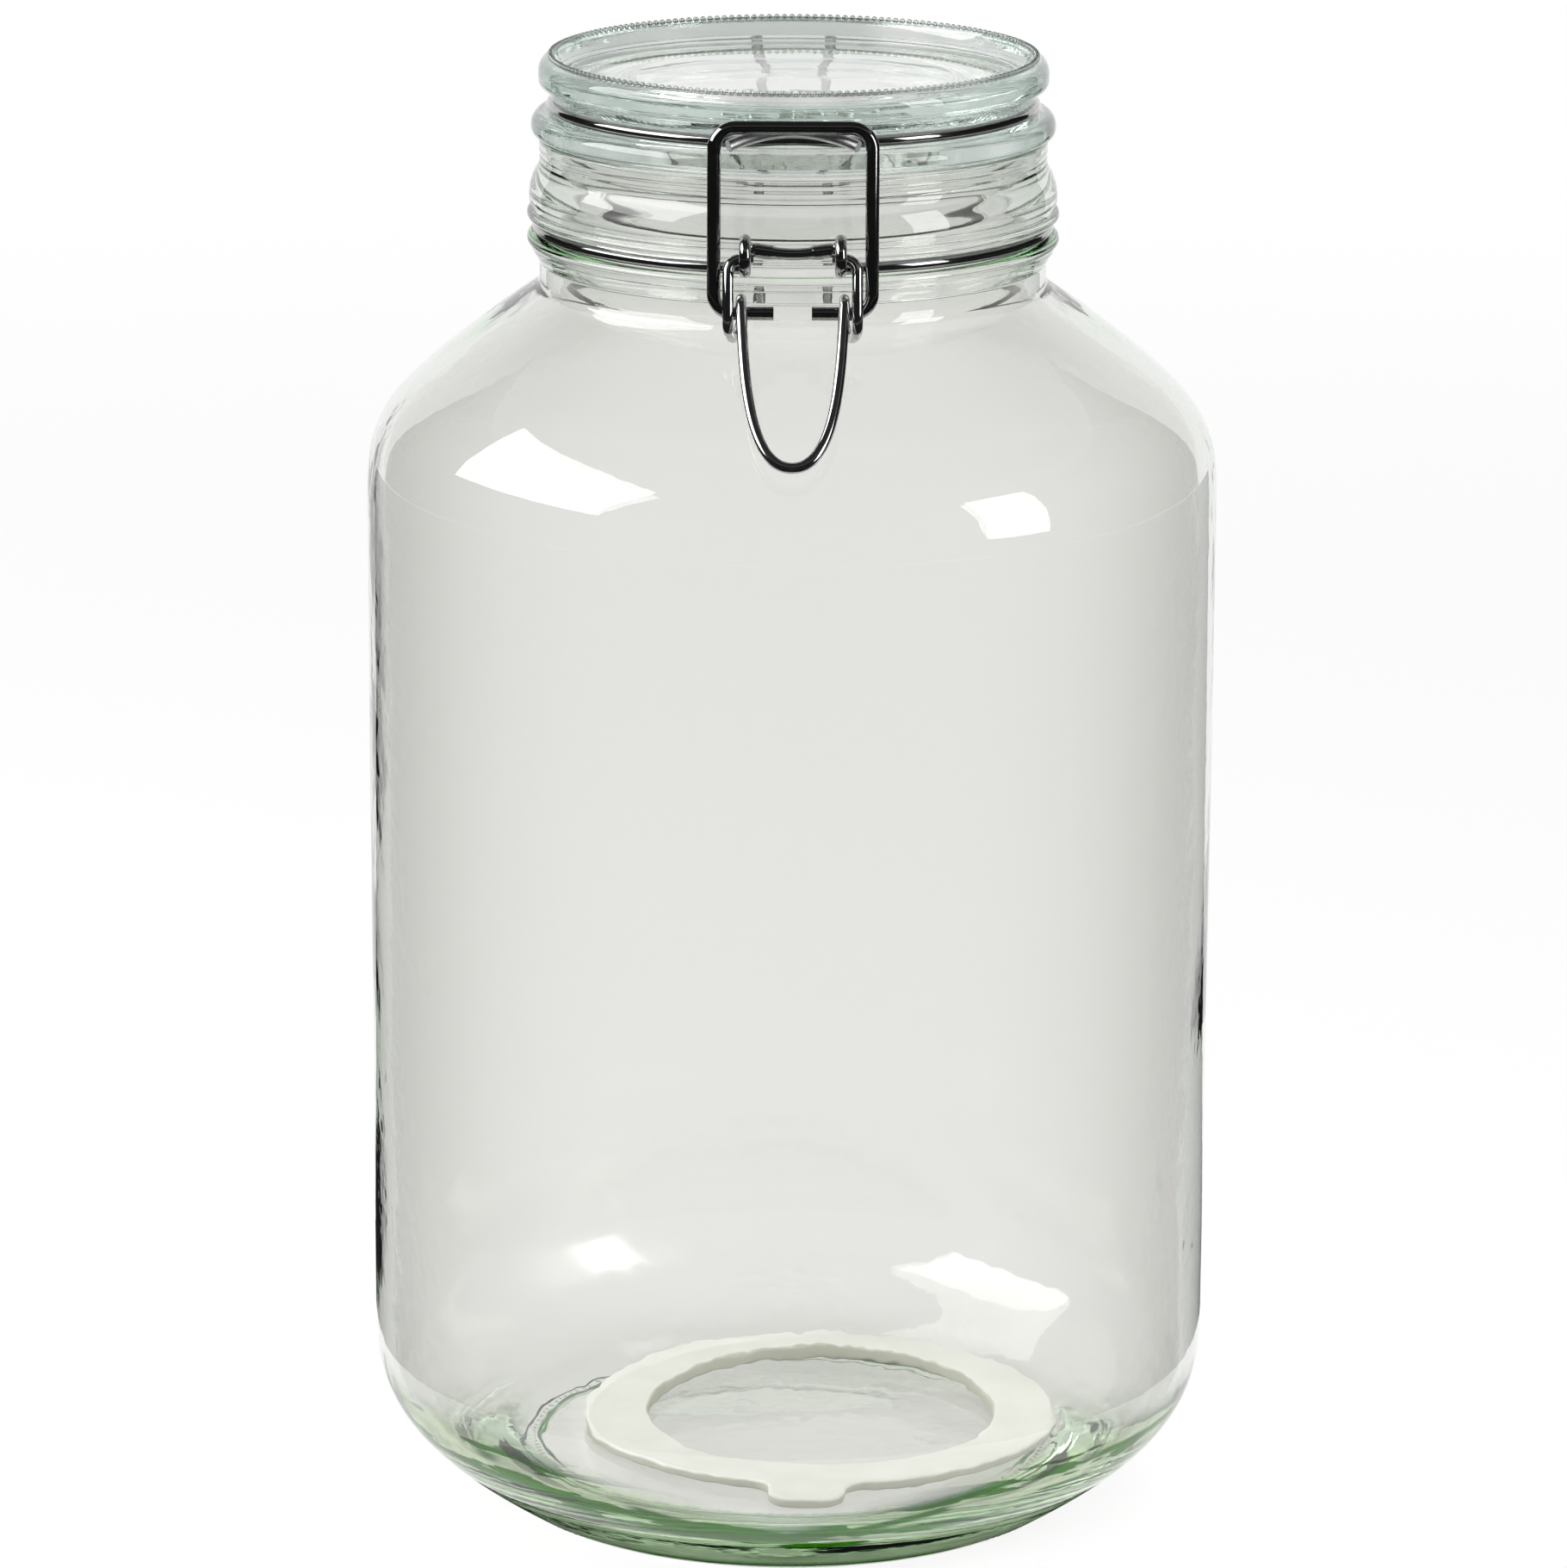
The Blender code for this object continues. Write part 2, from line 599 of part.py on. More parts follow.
def lever_path():
    """Right half of the lever, from the tip of its handle to its pin in the neck ring's eye."""
    pivot = lever_pivot()
    coil = (LEVER_WIRE + BAIL_WIRE) / 2 + RUN_GAP
    pin = Vector(bail_pivot())
    lean = lever_lean(pin, coil)
    crest, down = handle_line(pin, coil, lean)
    outline = shared_cubic((LEVER_INNER_SPREAD, 0), (0, LEVER_LENGTH), LEVER_OUTLINE_SHARES)
    outline.reverse()
    half = [Vector((side, *(crest + down * along))) for side, along in outline]
    over = arc(pin, coil, 180 - math.degrees(lean), 0, EYE_STEPS - 2)
    half += [Vector((LEVER_INNER_SPREAD, *point)) for point in over[1:]]
    low = (pin.x, pin.y - LEVER_LOOP_DROP)
    under = arc(low, coil, 0, -180, EYE_STEPS - 1)
    for index, point in enumerate(under):
        share = index / (len(under) - 1)
        side = LEVER_INNER_SPREAD + (LEVER_SPREAD - LEVER_INNER_SPREAD) * share
        half.append(Vector((side, *point)))
    half += bent(
        [
            (LEVER_SPREAD, pin.x - coil, pin.y + LEVER_LOOP_DROP),
            (LEVER_SPREAD, *pivot),
            (LEVER_PIN_END, *pivot),
        ],
        LEVER_CORNER,
    )
    return half


def gasket_outline():
    """The gasket's outer edge with its pull tab, and its bore, as two loops round its own middle."""
    side = TAB_WIDTH / 2
    root = -math.sqrt(GASKET_RADIUS ** 2 - side ** 2)
    end = -GASKET_RADIUS - TAB_LENGTH
    spread = math.degrees(math.asin((side + 2 * TAB_ROUND) / GASKET_RADIUS))
    round_edge = arc((0, 0), GASKET_RADIUS, spread - 90, 270 - spread, TURN_STEPS)
    corners = [(-side, root), (-side, end), (side, end), (side, root)]
    tab = bent([round_edge[-1]] + corners + [round_edge[0]], TAB_ROUND)
    bore = arc((0, 0), GASKET_BORE, 0, 360, TURN_STEPS)[:-1]
    return round_edge + tab[1:-1], bore


def gasket_height():
    """The level at which the gasket lies: on the floor, or on its round corner where it reaches that far."""
    turn = math.radians(TAB_TURN_DEG)
    reach = 0
    for across, along in gasket_outline()[0]:
        turned = Vector((across, along)) @ Matrix.Rotation(-turn, 2)
        reach = max(reach, math.hypot(turned.x + GASKET_SHIFT, turned.y) + SEAT_GAP)
    radius, height = inner_corner()
    past = min(max(reach - radius, 0), FLOOR_CORNER)
    return height - math.sqrt(FLOOR_CORNER ** 2 - past ** 2) + SEAT_GAP


def gasket(finish):
    """A flat rubber ring with a pull tab, lying off centre on the jar's floor."""
    work = bmesh.new()
    edges = []
    for loop in gasket_outline():
        verts = [work.verts.new((point[0], point[1], 0)) for point in loop]
        edges += [work.edges.new(pair) for pair in zip(verts, verts[1:] + verts[:1])]
    faces = bmesh.ops.triangle_fill(work, edges=edges, use_beauty=True)["geom"]
    flat = [item for item in faces if isinstance(item, bmesh.types.BMFace)]
    lifted = bmesh.ops.extrude_face_region(work, geom=flat)["geom"]
    raised = [item for item in lifted if isinstance(item, bmesh.types.BMVert)]
    bmesh.ops.translate(work, verts=raised, vec=(0, 0, GASKET_THICKNESS))
    ring = solid("gasket", work, finish)
    ring.location = (GASKET_SHIFT, 0, gasket_height())
    ring.rotation_euler.z = math.radians(TAB_TURN_DEG)
    edge = ring.modifiers.new("rounded edge", "BEVEL")
    edge.width = GASKET_ROUND
    edge.segments = 1
    edge.limit_method = "ANGLE"
    return ring


def hang(thing, pivot, parent=None):
    """Move an object's origin to its joint, with its shape left where it is."""
    offset = Vector(pivot)
    if thing.type == "CURVE":
        for point in thing.data.splines[0].points:
            point.co = (*(point.co.xyz - offset), 1.0)
    else:
        for vert in thing.data.vertices:
            vert.co -= offset
    thing.location = offset
    if parent:
        thing.parent = parent
        thing.matrix_parent_inverse = parent.matrix_basis.inverted()


def main():
    """Build every sub-part in its place."""
    for thing in list(bpy.data.objects):
        bpy.data.objects.remove(thing, do_unlink=True)

    jar_glass = material("jar glass", (0.92, 0.97, 0.94), 0.02, transmission=1.0)
    lid_glass = material("lid glass", (0.86, 0.95, 0.91), 0.02, transmission=1.0)
    steel = {
        name: material(name + " steel", (0.62, 0.62, 0.60), 0.12, metallic=1.0)
        for name in ("neck ring", "lid ring", "catch", "bail", "lever")
    }
    rubber = material("gasket rubber", (0.85, 0.85, 0.79), 0.6)

    revolve("glass_jar", jar_profile(), jar_glass)
    neck_ring_wire = mirrored(neck_ring_path())[:-1]
    wire(
        "neck_ring", neck_ring_wire, NECK_WIRE, steel["neck ring"],
        closed=True, swell=[bridge_swell(point) for point in neck_ring_wire],
    )
    gasket(rubber)

    hinge = (0, HINGE_BACK, HINGE_HEIGHT)
    lid = revolve("glass_lid", lid_profile(), lid_glass)
    lid_ring = wire("lid_ring", mirrored(lid_ring_path()), LID_WIRE, steel["lid ring"])
    catch = wire("lid_catch", mirrored(catch_path()), CATCH_WIRE, steel["catch"])
    hang(lid, hinge)
    hang(lid_ring, hinge, lid)
    hang(catch, hinge, lid)

    lever = wire("lever", mirrored(lever_path()), LEVER_WIRE, steel["lever"])
    bail = wire("bail", mirrored(bail_path()), BAIL_WIRE, steel["bail"])
    hang(lever, (0, *lever_pivot()))
    hang(bail, (0, *bail_pivot()), lever)


main()
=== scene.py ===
# %% [markdown]
# # A clip-top glass jar
#
# This lesson dresses a storage jar: pressed glass body, pressed glass lid, a clamp bent from plated wire,
# and a rubber ring left lying on the floor inside. The solid model comes from a fixed frame, where every
# body and joint already has its place. Here each piece gets its fine surface and its finish.
#
# Sizes below are written in millimetres, because a maker thinks in them. `MM` turns them into metres.
# Light goes back and forth many times inside thick glass, so the renderer is allowed more bounces than
# usual. With fewer, the heel would go grey, because light that is still on its way counts as black.

# %% Load the fixed frame
import math

import bmesh
import bpy
from mathutils import Matrix, Vector


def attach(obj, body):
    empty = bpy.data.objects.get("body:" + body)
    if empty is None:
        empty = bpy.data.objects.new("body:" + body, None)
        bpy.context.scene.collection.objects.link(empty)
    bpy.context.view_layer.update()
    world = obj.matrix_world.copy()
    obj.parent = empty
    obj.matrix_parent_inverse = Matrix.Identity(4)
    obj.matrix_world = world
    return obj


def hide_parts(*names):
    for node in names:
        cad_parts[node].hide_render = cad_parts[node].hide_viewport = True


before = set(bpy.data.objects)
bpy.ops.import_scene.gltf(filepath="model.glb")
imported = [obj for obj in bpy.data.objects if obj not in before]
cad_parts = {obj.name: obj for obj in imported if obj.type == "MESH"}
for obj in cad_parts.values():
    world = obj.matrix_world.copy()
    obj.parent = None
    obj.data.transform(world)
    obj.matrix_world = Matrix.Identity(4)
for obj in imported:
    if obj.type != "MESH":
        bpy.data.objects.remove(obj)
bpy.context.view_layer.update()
MM = 0.001
ALL_BOUNCES = 24
GLASS_BOUNCES = 16
scene = bpy.context.scene
scene.view_settings.view_transform = "Standard"
scene.cycles.max_bounces = ALL_BOUNCES
scene.cycles.glossy_bounces = GLASS_BOUNCES
scene.cycles.transmission_bounces = GLASS_BOUNCES

# %% [markdown]
# ## The camera
#
# The photograph looks down on the jar by a little over fourteen degrees from far away, with a long lens.
# A long lens keeps the sides of the jar nearly parallel. The jar leans a quarter of a degree in the
# picture, and that is a roll of the camera, since a full jar stands upright.

# %% Camera
IMAGE_WIDTH = 1820
IMAGE_HEIGHT = 1821
FOCAL_PIXELS = 9322.0
SENSOR_WIDTH = 36.0
CAMERA_BACK = 1583.0
CAMERA_HEIGHT = 552.8
CAMERA_PITCH_DEG = 14.29
CAMERA_ROLL_DEG = 0.25
AXIS_PIXEL = 918.4
NEAREST = 50.0
FARTHEST = 60000.0

camera_data = bpy.data.cameras.new("camera")
camera = bpy.data.objects.new("camera", camera_data)
scene.collection.objects.link(camera)
scene.camera = camera
camera_data.sensor_width = SENSOR_WIDTH
camera_data.lens = FOCAL_PIXELS * SENSOR_WIDTH / max(IMAGE_WIDTH, IMAGE_HEIGHT)
camera_data.clip_start = NEAREST * MM
camera_data.clip_end = FARTHEST * MM
yaw = math.atan((AXIS_PIXEL - IMAGE_WIDTH / 2) / FOCAL_PIXELS)
turned_view = Matrix.Rotation(yaw, 4, "Z") @ Matrix.Rotation(math.radians(90 - CAMERA_PITCH_DEG), 4, "X")
rolled_view = turned_view @ Matrix.Rotation(math.radians(CAMERA_ROLL_DEG), 4, "Z")
camera.matrix_world = Matrix.Translation((0, -CAMERA_BACK * MM, CAMERA_HEIGHT * MM)) @ rolled_view
print("lens:", round(camera_data.lens, 1), "mm")

# %% [markdown]
# ## Writing materials as sums
#
# A material is a graph of nodes. Drawn by hand it soon grows hard to read, so two small classes let the
# graph be written as ordinary sums. A `Socket` stands for one output, and adding or multiplying sockets
# adds the Math nodes. Every other node comes from one method, `node`.

# %% Small classes for shader graphs
class Socket:
    """One output in a shader graph, which can be used in sums."""

    def __init__(self, graph, output):
        self.graph = graph
        self.output = output

    def math(self, operation, *values):
        return self.graph.node("ShaderNodeMath", {"operation": operation}, values)

    def __add__(self, other):
        return self.math("ADD", self, other)

    def __sub__(self, other):
        return self.math("SUBTRACT", self, other)

    def __rsub__(self, other):
        return self.math("SUBTRACT", other, self)

    def __mul__(self, other):
        return self.math("MULTIPLY", self, other)

    def __truediv__(self, other):
        return self.math("DIVIDE", self, other)

    __radd__ = __add__
    __rmul__ = __mul__

    def larger(self, other):
        return self.math("MAXIMUM", self, other)

    def between(self, low, high):
        """A smooth step from 0 at low to 1 at high."""
        settings = {"interpolation_type": "SMOOTHSTEP"}
        limits = {"Value": self, "From Min": low, "From Max": high}
        return self.graph.node("ShaderNodeMapRange", settings, limits)

    def within(self, low, high):
        """The same step between two sizes in millimetres."""
        return self.between(low * MM, high * MM)


class Graph:
    """The nodes of one material or of the world."""

    def __init__(self, owner):
        owner.use_nodes = True
        self.tree = owner.node_tree
        self.tree.nodes.clear()

    def node(self, kind, settings=None, values=(), output=0):
        """Add a node: its settings first, then the numbers or sockets of its inputs."""
        made = self.tree.nodes.new(kind)
        for name, setting in (settings or {}).items():
            setattr(made, name, setting)
        pairs = values.items() if isinstance(values, dict) else enumerate(values)
        for name, value in pairs:
            if isinstance(value, Socket):
                self.tree.links.new(value.output, made.inputs[name])
            else:
                made.inputs[name].default_value = value
        return Socket(self, made.outputs[output]) if made.outputs else made

    def place(self):
        """Where a point lies on the object, in metres."""
        return self.node("ShaderNodeTexCoord", output="Object")

    def noise(self, size, detail=2.0, stretch=(1, 1, 1)):
        """Soft noise whose blotches are about as wide as the size, in millimetres."""
        where = self.node("ShaderNodeMapping", {}, {"Vector": self.place(), "Scale": stretch})
        grain = {"Vector": where, "Scale": 1 / (size * MM), "Detail": detail}
        return self.node("ShaderNodeTexNoise", {}, grain)

    def bump(self, height, strength, distance):
        """A normal that follows a height, where the distance is in millimetres."""
        return self.node(
            "ShaderNodeBump", {}, {"Height": height, "Strength": strength, "Distance": distance * MM}
        )

    def along(self, axis):
        """How far a point lies along one axis of the object, in metres."""
        return self.node("ShaderNodeSeparateXYZ", {}, [self.place()], axis)

    def from_upright(self, side=0.0):
        """How far a point lies from the upright line that stands the given millimetres to the right."""
        foot = (side * MM, 0, 0)
        moved = self.node("ShaderNodeVectorMath", {"operation": "SUBTRACT"}, [self.place(), foot])
        flat = self.node("ShaderNodeVectorMath", {"operation": "MULTIPLY"}, [moved, (1, 1, 0)])
        return self.node("ShaderNodeVectorMath", {"operation": "LENGTH"}, [flat], "Value")

    def rays(self):
        """Whether a ray comes straight from the camera, from a reflection, or through glass."""
        kinds = ("Is Camera Ray", "Is Glossy Ray", "Is Transmission Ray")
        return [self.node("ShaderNodeLightPath", output=kind) for kind in kinds]

    def mix(self, share, first, second):
        """A colour between two colours."""
        settings = {"data_type": "RGBA"}
        return self.node("ShaderNodeMix", settings, {0: share, 6: first, 7: second}, output=2)

    def surface(self, **values):
        """The usual all-round shader, whose socket names are written with underscores."""
        named = {name.replace("_", " "): value for name, value in values.items()}
        return self.node("ShaderNodeBsdfPrincipled", {}, named)

    def finish(self, surface, volume=None):
        """Connect the shaders to the output."""
        ends = {"Surface": surface}
        if volume:
            ends["Volume"] = volume
        self.node("ShaderNodeOutputMaterial", {}, ends)


def grey(level):
    """A neutral colour."""
    return (level, level, level, 1.0)


print("shader helpers ready")

# %% [markdown]
# ## The studio
#
# Clear glass has no colour of its own to show: it shows the room. So the room is built first. A white floor
# and a white world give the pale background, also through the glass. Two softboxes stand where the
# highlights on the shoulder say they stood, and a lamp overhead lights the rubber and the floor.
#
# Dark cards stand for the unlit room behind the camera: without them polished wire would look like white
# plastic. Only reflections see them. Two thin dark rings at the jar's foot are painted contact shadow, where
# the real jar touches its support: reflections see both, and the inner one also shows through the glass.

# %% World and floor
WORLD_FILL = 0.22
CEILING = (0.35, 0.75)
CEILING_GLOOM = 0.96
GLOOM_LOST_THROUGH_GLASS = 0.7
FLOOR_RADIUS = 9000.0
FLOOR_SIDES = 96
FLOOR_PAPER = 0.9
FLOOR_NEAR_WHITE = 0.82
FLOOR_WHITENS = (500.0, 1600.0)

world = bpy.data.worlds.new("white room")
scene.world = world
room = Graph(world)
lift = room.node("ShaderNodeSeparateXYZ", {}, [room.node("ShaderNodeTexCoord", output="Generated")], "Z")
straight, mirrored_ray, through = room.rays()
ceiling = lift.between(*CEILING) * (1 - straight)
gloom = CEILING_GLOOM - through * GLOOM_LOST_THROUGH_GLASS
seen = straight.larger(mirrored_ray).larger(through)
level = seen * (1 - ceiling * gloom) + (1 - seen) * WORLD_FILL
background = room.node("ShaderNodeBackground", {}, {"Color": grey(1.0), "Strength": level})
room.node("ShaderNodeOutputWorld", {}, {"Surface": background})

floor_white = bpy.data.materials.new("studio floor")
paper = Graph(floor_white)
lit = paper.node("ShaderNodeBsdfDiffuse", {}, {"Color": grey(FLOOR_PAPER)})
glow = paper.node("ShaderNodeEmission", {}, {"Color": grey(1.0), "Strength": 1.0})
straight, mirrored_ray, through = paper.rays()
share_white = FLOOR_NEAR_WHITE + (1 - FLOOR_NEAR_WHITE) * paper.from_upright().within(*FLOOR_WHITENS)
shown = straight.larger(mirrored_ray).larger(through) * share_white
paper.finish(paper.node("ShaderNodeMixShader", {}, [shown, lit, glow]))


def mesh_object(name, points, faces, material):
    """A mesh from points in millimetres, with its faces turned outwards."""
    work = bmesh.new()
    corners = [work.verts.new([value * MM for value in point]) for point in points]
    for face in faces:
        work.faces.new([corners[index] for index in face])
    bmesh.ops.recalc_face_normals(work, faces=work.faces)
    mesh = bpy.data.meshes.new(name)
    work.to_mesh(mesh)
    work.free()
    mesh.materials.append(material)
    mesh.shade_smooth()
    made = bpy.data.objects.new(name, mesh)
    scene.collection.objects.link(made)
    return made


turns = [math.tau * step / FLOOR_SIDES for step in range(FLOOR_SIDES)]
floor_points = [(FLOOR_RADIUS * math.cos(turn), FLOOR_RADIUS * math.sin(turn), 0) for turn in turns]
floor = mesh_object("studio_floor", floor_points, [list(range(FLOOR_SIDES))], floor_white)
print("floor:", round(FLOOR_RADIUS * MM, 1), "m across its radius")

# %% Softboxes and the lamp overhead
SOFTBOX_AIM = 200.0
SOFTBOXES = {
    "softbox_left": {
        "turn_deg": -80.0, "lift_deg": 35.0, "away": 1300.0, "width": 1250.0, "height": 750.0, "power": 16.0,
    },
    "softbox_right": {
        "turn_deg": 61.0, "lift_deg": 17.0, "away": 1500.0, "width": 480.0, "height": 900.0, "power": 8.0,
    },
}
OVERHEAD = {"place": (0.0, 250.0, 1900.0), "width": 1600.0, "power": 18.0}

for name, box in SOFTBOXES.items():
    lamp = bpy.data.lights.new(name, "AREA")
    lamp.shape = "RECTANGLE"
    lamp.size = box["width"] * MM
    lamp.size_y = box["height"] * MM
    lamp.energy = box["power"]
    stand = bpy.data.objects.new(name, lamp)
    scene.collection.objects.link(stand)
    turn = math.radians(box["turn_deg"])
    rise = math.radians(box["lift_deg"])
    towards = Vector((math.sin(turn) * math.cos(rise), -math.cos(turn) * math.cos(rise), math.sin(rise)))
    stand.location = Vector((0, 0, SOFTBOX_AIM * MM)) + towards * box["away"] * MM
    stand.rotation_euler = towards.to_track_quat("Z", "Y").to_euler()
    print(name, "at", [round(value, 2) for value in stand.location])

overhead = bpy.data.objects.new("overhead", bpy.data.lights.new("overhead", "AREA"))
overhead.data.shape = "DISK"
overhead.data.size = OVERHEAD["width"] * MM
overhead.data.energy = OVERHEAD["power"]
overhead.location = [value * MM for value in OVERHEAD["place"]]
overhead.visible_glossy = False
overhead.visible_transmission = False
scene.collection.objects.link(overhead)

# %% Dark cards
CARD_GLOW = 0.02
FLAT_STEPS = 96
WALL_STEPS = 48
FLAT_CARDS = {
    "dark_floor_card": {"inner": 150.0, "outer": 1650.0, "height": 1.0, "half_deg": 150.0},
    # painted contact shadow at the jar's foot: a thin ring seen through the glass, and a wider one seen in
    # reflections
    "painted_contact_shadow_card": {"inner": 54.9, "outer": 55.5, "height": 0.1, "half_deg": 180.0},
    "painted_foot_shadow_card": {"inner": 55.7, "outer": 66.0, "height": 0.05, "half_deg": 180.0},
}
WALL_CARD = {"radius": 1700.0, "height": 1500.0, "half_deg": 140.0}


def card_from(name, low_row, high_row):
    """A dark card between two rows of points, which reflections see and the camera doesn't."""
    count = len(low_row)
    faces = [(i, i + 1, count + 1 + i, count + i) for i in range(count - 1)]
    card = mesh_object(name, low_row + high_row, faces, card_black)
    card.visible_camera = False
    card.visible_diffuse = False
    card.visible_transmission = name == "painted_contact_shadow_card"
    card.visible_shadow = False
    print(name + ":", len(faces), "faces")


def front_arc(radius, height, half_deg, steps):
    """Points of a level arc that is open at the back."""
    turns = [math.radians(half_deg * (2 * step / steps - 1)) for step in range(steps + 1)]
    return [(radius * math.sin(turn), -radius * math.cos(turn), height) for turn in turns]


card_black = bpy.data.materials.new("dark card")
velvet = Graph(card_black)
velvet.finish(velvet.node("ShaderNodeEmission", {}, {"Color": grey(CARD_GLOW), "Strength": 1.0}))
for name, card in FLAT_CARDS.items():
    edges = (card["inner"], card["outer"])
    rows = [front_arc(radius, card["height"], card["half_deg"], FLAT_STEPS) for radius in edges]
    card_from(name, *rows)
heights = (0, WALL_CARD["height"])
rows = [front_arc(WALL_CARD["radius"], height, WALL_CARD["half_deg"], WALL_STEPS) for height in heights]
card_from("dark_wall_card", *rows)

# %% [markdown]
# ## Outlines
#
# Pressed glass is round about one axis, so the body and the lid are each drawn once as a half section and
# turned. The section is made of round arcs for the beads and of cubic curves for the heel and the
# shoulder, whose handles were fitted to the photograph's outline.

# %% Arcs, cubics and bends
def arc(centre, radius, start_deg, end_deg, steps=8):
    """Points of a round stretch."""
    turns = [math.radians(start_deg + (end_deg - start_deg) * step / steps) for step in range(steps + 1)]
    return [(centre[0] + radius * math.cos(turn), centre[1] + radius * math.sin(turn)) for turn in turns]


def cubic(start, start_handle, end_handle, end, steps):
    """Points of a cubic curve between two points, pulled by two handles."""
    points = []
    for step in range(steps + 1):
        t = step / steps
        s = 1 - t
        weights = (s ** 3, 3 * s * s * t, 3 * s * t * t, t ** 3)
        corners = (start, start_handle, end_handle, end)
        points.append(tuple(sum(w * c[i] for w, c in zip(weights, corners)) for i in range(len(start))))
    return points


def shared_cubic(start, end, shares, steps=24):
    """A cubic whose handles are shares of the width and height between its ends."""
    handles = [
        (start[0] + (end[0] - start[0]) * across, start[1] + (end[1] - start[1]) * along)
        for across, along in shares
    ]
    return cubic(start, *handles, end, steps)


def bent(corners, radius, steps=10):
    """A line through corners, each rounded to the bend's radius as far as its runs allow."""
    path = [Vector(corners[0])]
    for before, corner, after in zip(corners, corners[1:], corners[2:]):
        middle = Vector(corner)
        back = Vector(before) - middle
        ahead = Vector(after) - middle
        half = back.angle(ahead) / 2
        reach = min(radius / math.tan(half), back.length / 2, ahead.length / 2)
        centre = middle + (back.normalized() + ahead.normalized()).normalized() * reach / math.cos(half)
        first = middle + back.normalized() * reach - centre
        last = middle + ahead.normalized() * reach - centre
        for step in range(steps + 1):
            path.append(centre + first.normalized().slerp(last.normalized(), step / steps) * first.length)
    path.append(Vector(corners[-1]))
    return path


def turned(name, profile, material, steps=192):
    """A solid of glass, turned from a profile of radius and height pairs."""
    points = []
    rows = []
    for radius, height in profile:
        if radius == 0:
            rows.append([len(points)] * steps)
            points.append((0, 0, height))
        else:
            rows.append(list(range(len(points), len(points) + steps)))
            for step in range(steps):
                turn = math.tau * step / steps
                points.append((radius * math.cos(turn), radius * math.sin(turn), height))
    faces = []
    for low, high in zip(rows, rows[1:]):
        for i in range(steps):
            j = (i + 1) % steps
            face = [low[i], low[j], high[j], high[i]]
            faces.append([corner for n, corner in enumerate(face) if corner not in face[:n]])
    return mesh_object(name, points, faces, material)


print("outline helpers ready")

# %% [markdown]
# ## Glass
#
# Bottle glass is clear where it is thin and green where light runs a long way through it, as in the heel and
# the beads. Most of the green is absorption inside the solid, so the thickness of each wall decides how much
# of it shows. Light is also caught inside the heel, where it comes out in dark green streaks: a painted shade
# tint on the outer side of the heel, where it is met at a slant, stands for those, with a painted dark line
# along the crest and a painted contact shadow line at the foot. Where the glass is met at a slant it is also
# painted darker: partly the longer path through the wall, mostly painted shade.
#
# A very low, broad bump stands for the slight waviness of pressed glass, which makes the edges of the
# highlights uneven. The neck is a little greyer than the body, and a small patch of the heel is cloudy.

# %% Glass finishes
BODY = 85.6
TAPER = 0.5
WALL = 3.8
FLOOR = 13.0
FLOOR_CORNER = 22.0
BENDING = 1.5
SLANT = 0.35
SLANT_TINTS = (0.05, 0.6)
BROAD_WAVE = 38.0
BROAD_WAVE_STRETCH = (1, 1, 0.6)
FINE_WAVE = 9.0
FINE_WAVE_SHARE = 0.12
WAVE_DEPTH = 1.2
WAVE_AT_HEEL = 1.5
WAVE_CALMS = (55.0, 110.0)
CREST = 13.0
CREST_RISE = 0.22
CREST_TOP = 25.0
HEEL_TOP = (2.0, 8.0)
HEEL_RADIUS = (50.0, 58.0)
HEEL_SKIN = (23.2, 24.5)
HEEL_SLANT = (0.12, 0.22)
STREAK_LENGTH = 30.0
STREAK_THINNESS = 8.0
STREAK_SHARE = (0.50, 0.52)
STREAK_BAND = (4.0, 10.0)
STREAK_LOST = 0.6
CREST_LINE = (0.5, 1.5)
CREST_LINE_GAPS = (26.0, 0.42, 0.5)
FOOT_LINE = (3.0, 6.0)
FOOT_LINE_SIDE = (30.0, 48.0)
NECK_TINT_LEVEL = (254.0, 262.0)
NECK_TINT_RADIUS = (45.0, 45.6)
NECK_PATCHES = (34.0, 0.42, 0.6)
NECK_PATCH_SHARE = 0.5
CLOUDY_SIDE = (-30.0, -10.0)
CLOUDY_LEVEL = (30.0, 50.0)
CLOUDY_BACK = (30.0, 50.0)
CLOUDY_ROUGHNESS = 0.13

inner_radius = BODY - TAPER - WALL
corner_radius = inner_radius - FLOOR_CORNER
corner_level = FLOOR + FLOOR_CORNER


def painted_heel_mask(graph, level, across, out, facing):
    """Where the painted heel shade goes, on the outer side of the heel, and how far a point lies above its
    crest.
    """
    crest = across * CREST_RISE + CREST * MM
    over_crest = level - crest.math("MINIMUM", crest, CREST_TOP * MM)
    from_corner = out - corner_radius * MM
    over_corner = level - corner_level * MM
    reach = from_corner * from_corner + over_corner * over_corner
    outer = reach.between(*[(limit * MM) ** 2 for limit in HEEL_SKIN])
    below = 1 - over_crest.within(*HEEL_TOP)
    return below * out.within(*HEEL_RADIUS) * outer * facing.between(*HEEL_SLANT), over_crest


def heel_shade_streaks(graph, level, across, over_crest):
    """Painted shade in the heel: long dark streaks, a broken dark line along the crest and a painted contact
    shadow line at the foot.
    """
    off_crest = over_crest.math("ABSOLUTE", over_crest)
    band = 1 - off_crest.within(*STREAK_BAND) * STREAK_LOST
    long_noise = graph.noise(STREAK_LENGTH, 3.0, (1, 1, STREAK_THINNESS))
    line = 1 - off_crest.within(*CREST_LINE)
    gaps = graph.noise(CREST_LINE_GAPS[0], 1.0).between(*CREST_LINE_GAPS[1:])
    foot_contact_shadow = (1 - level.within(*FOOT_LINE)) * (1 - across.within(*FOOT_LINE_SIDE))
    return (long_noise.between(*STREAK_SHARE) * band).larger(line * gaps).larger(foot_contact_shadow)


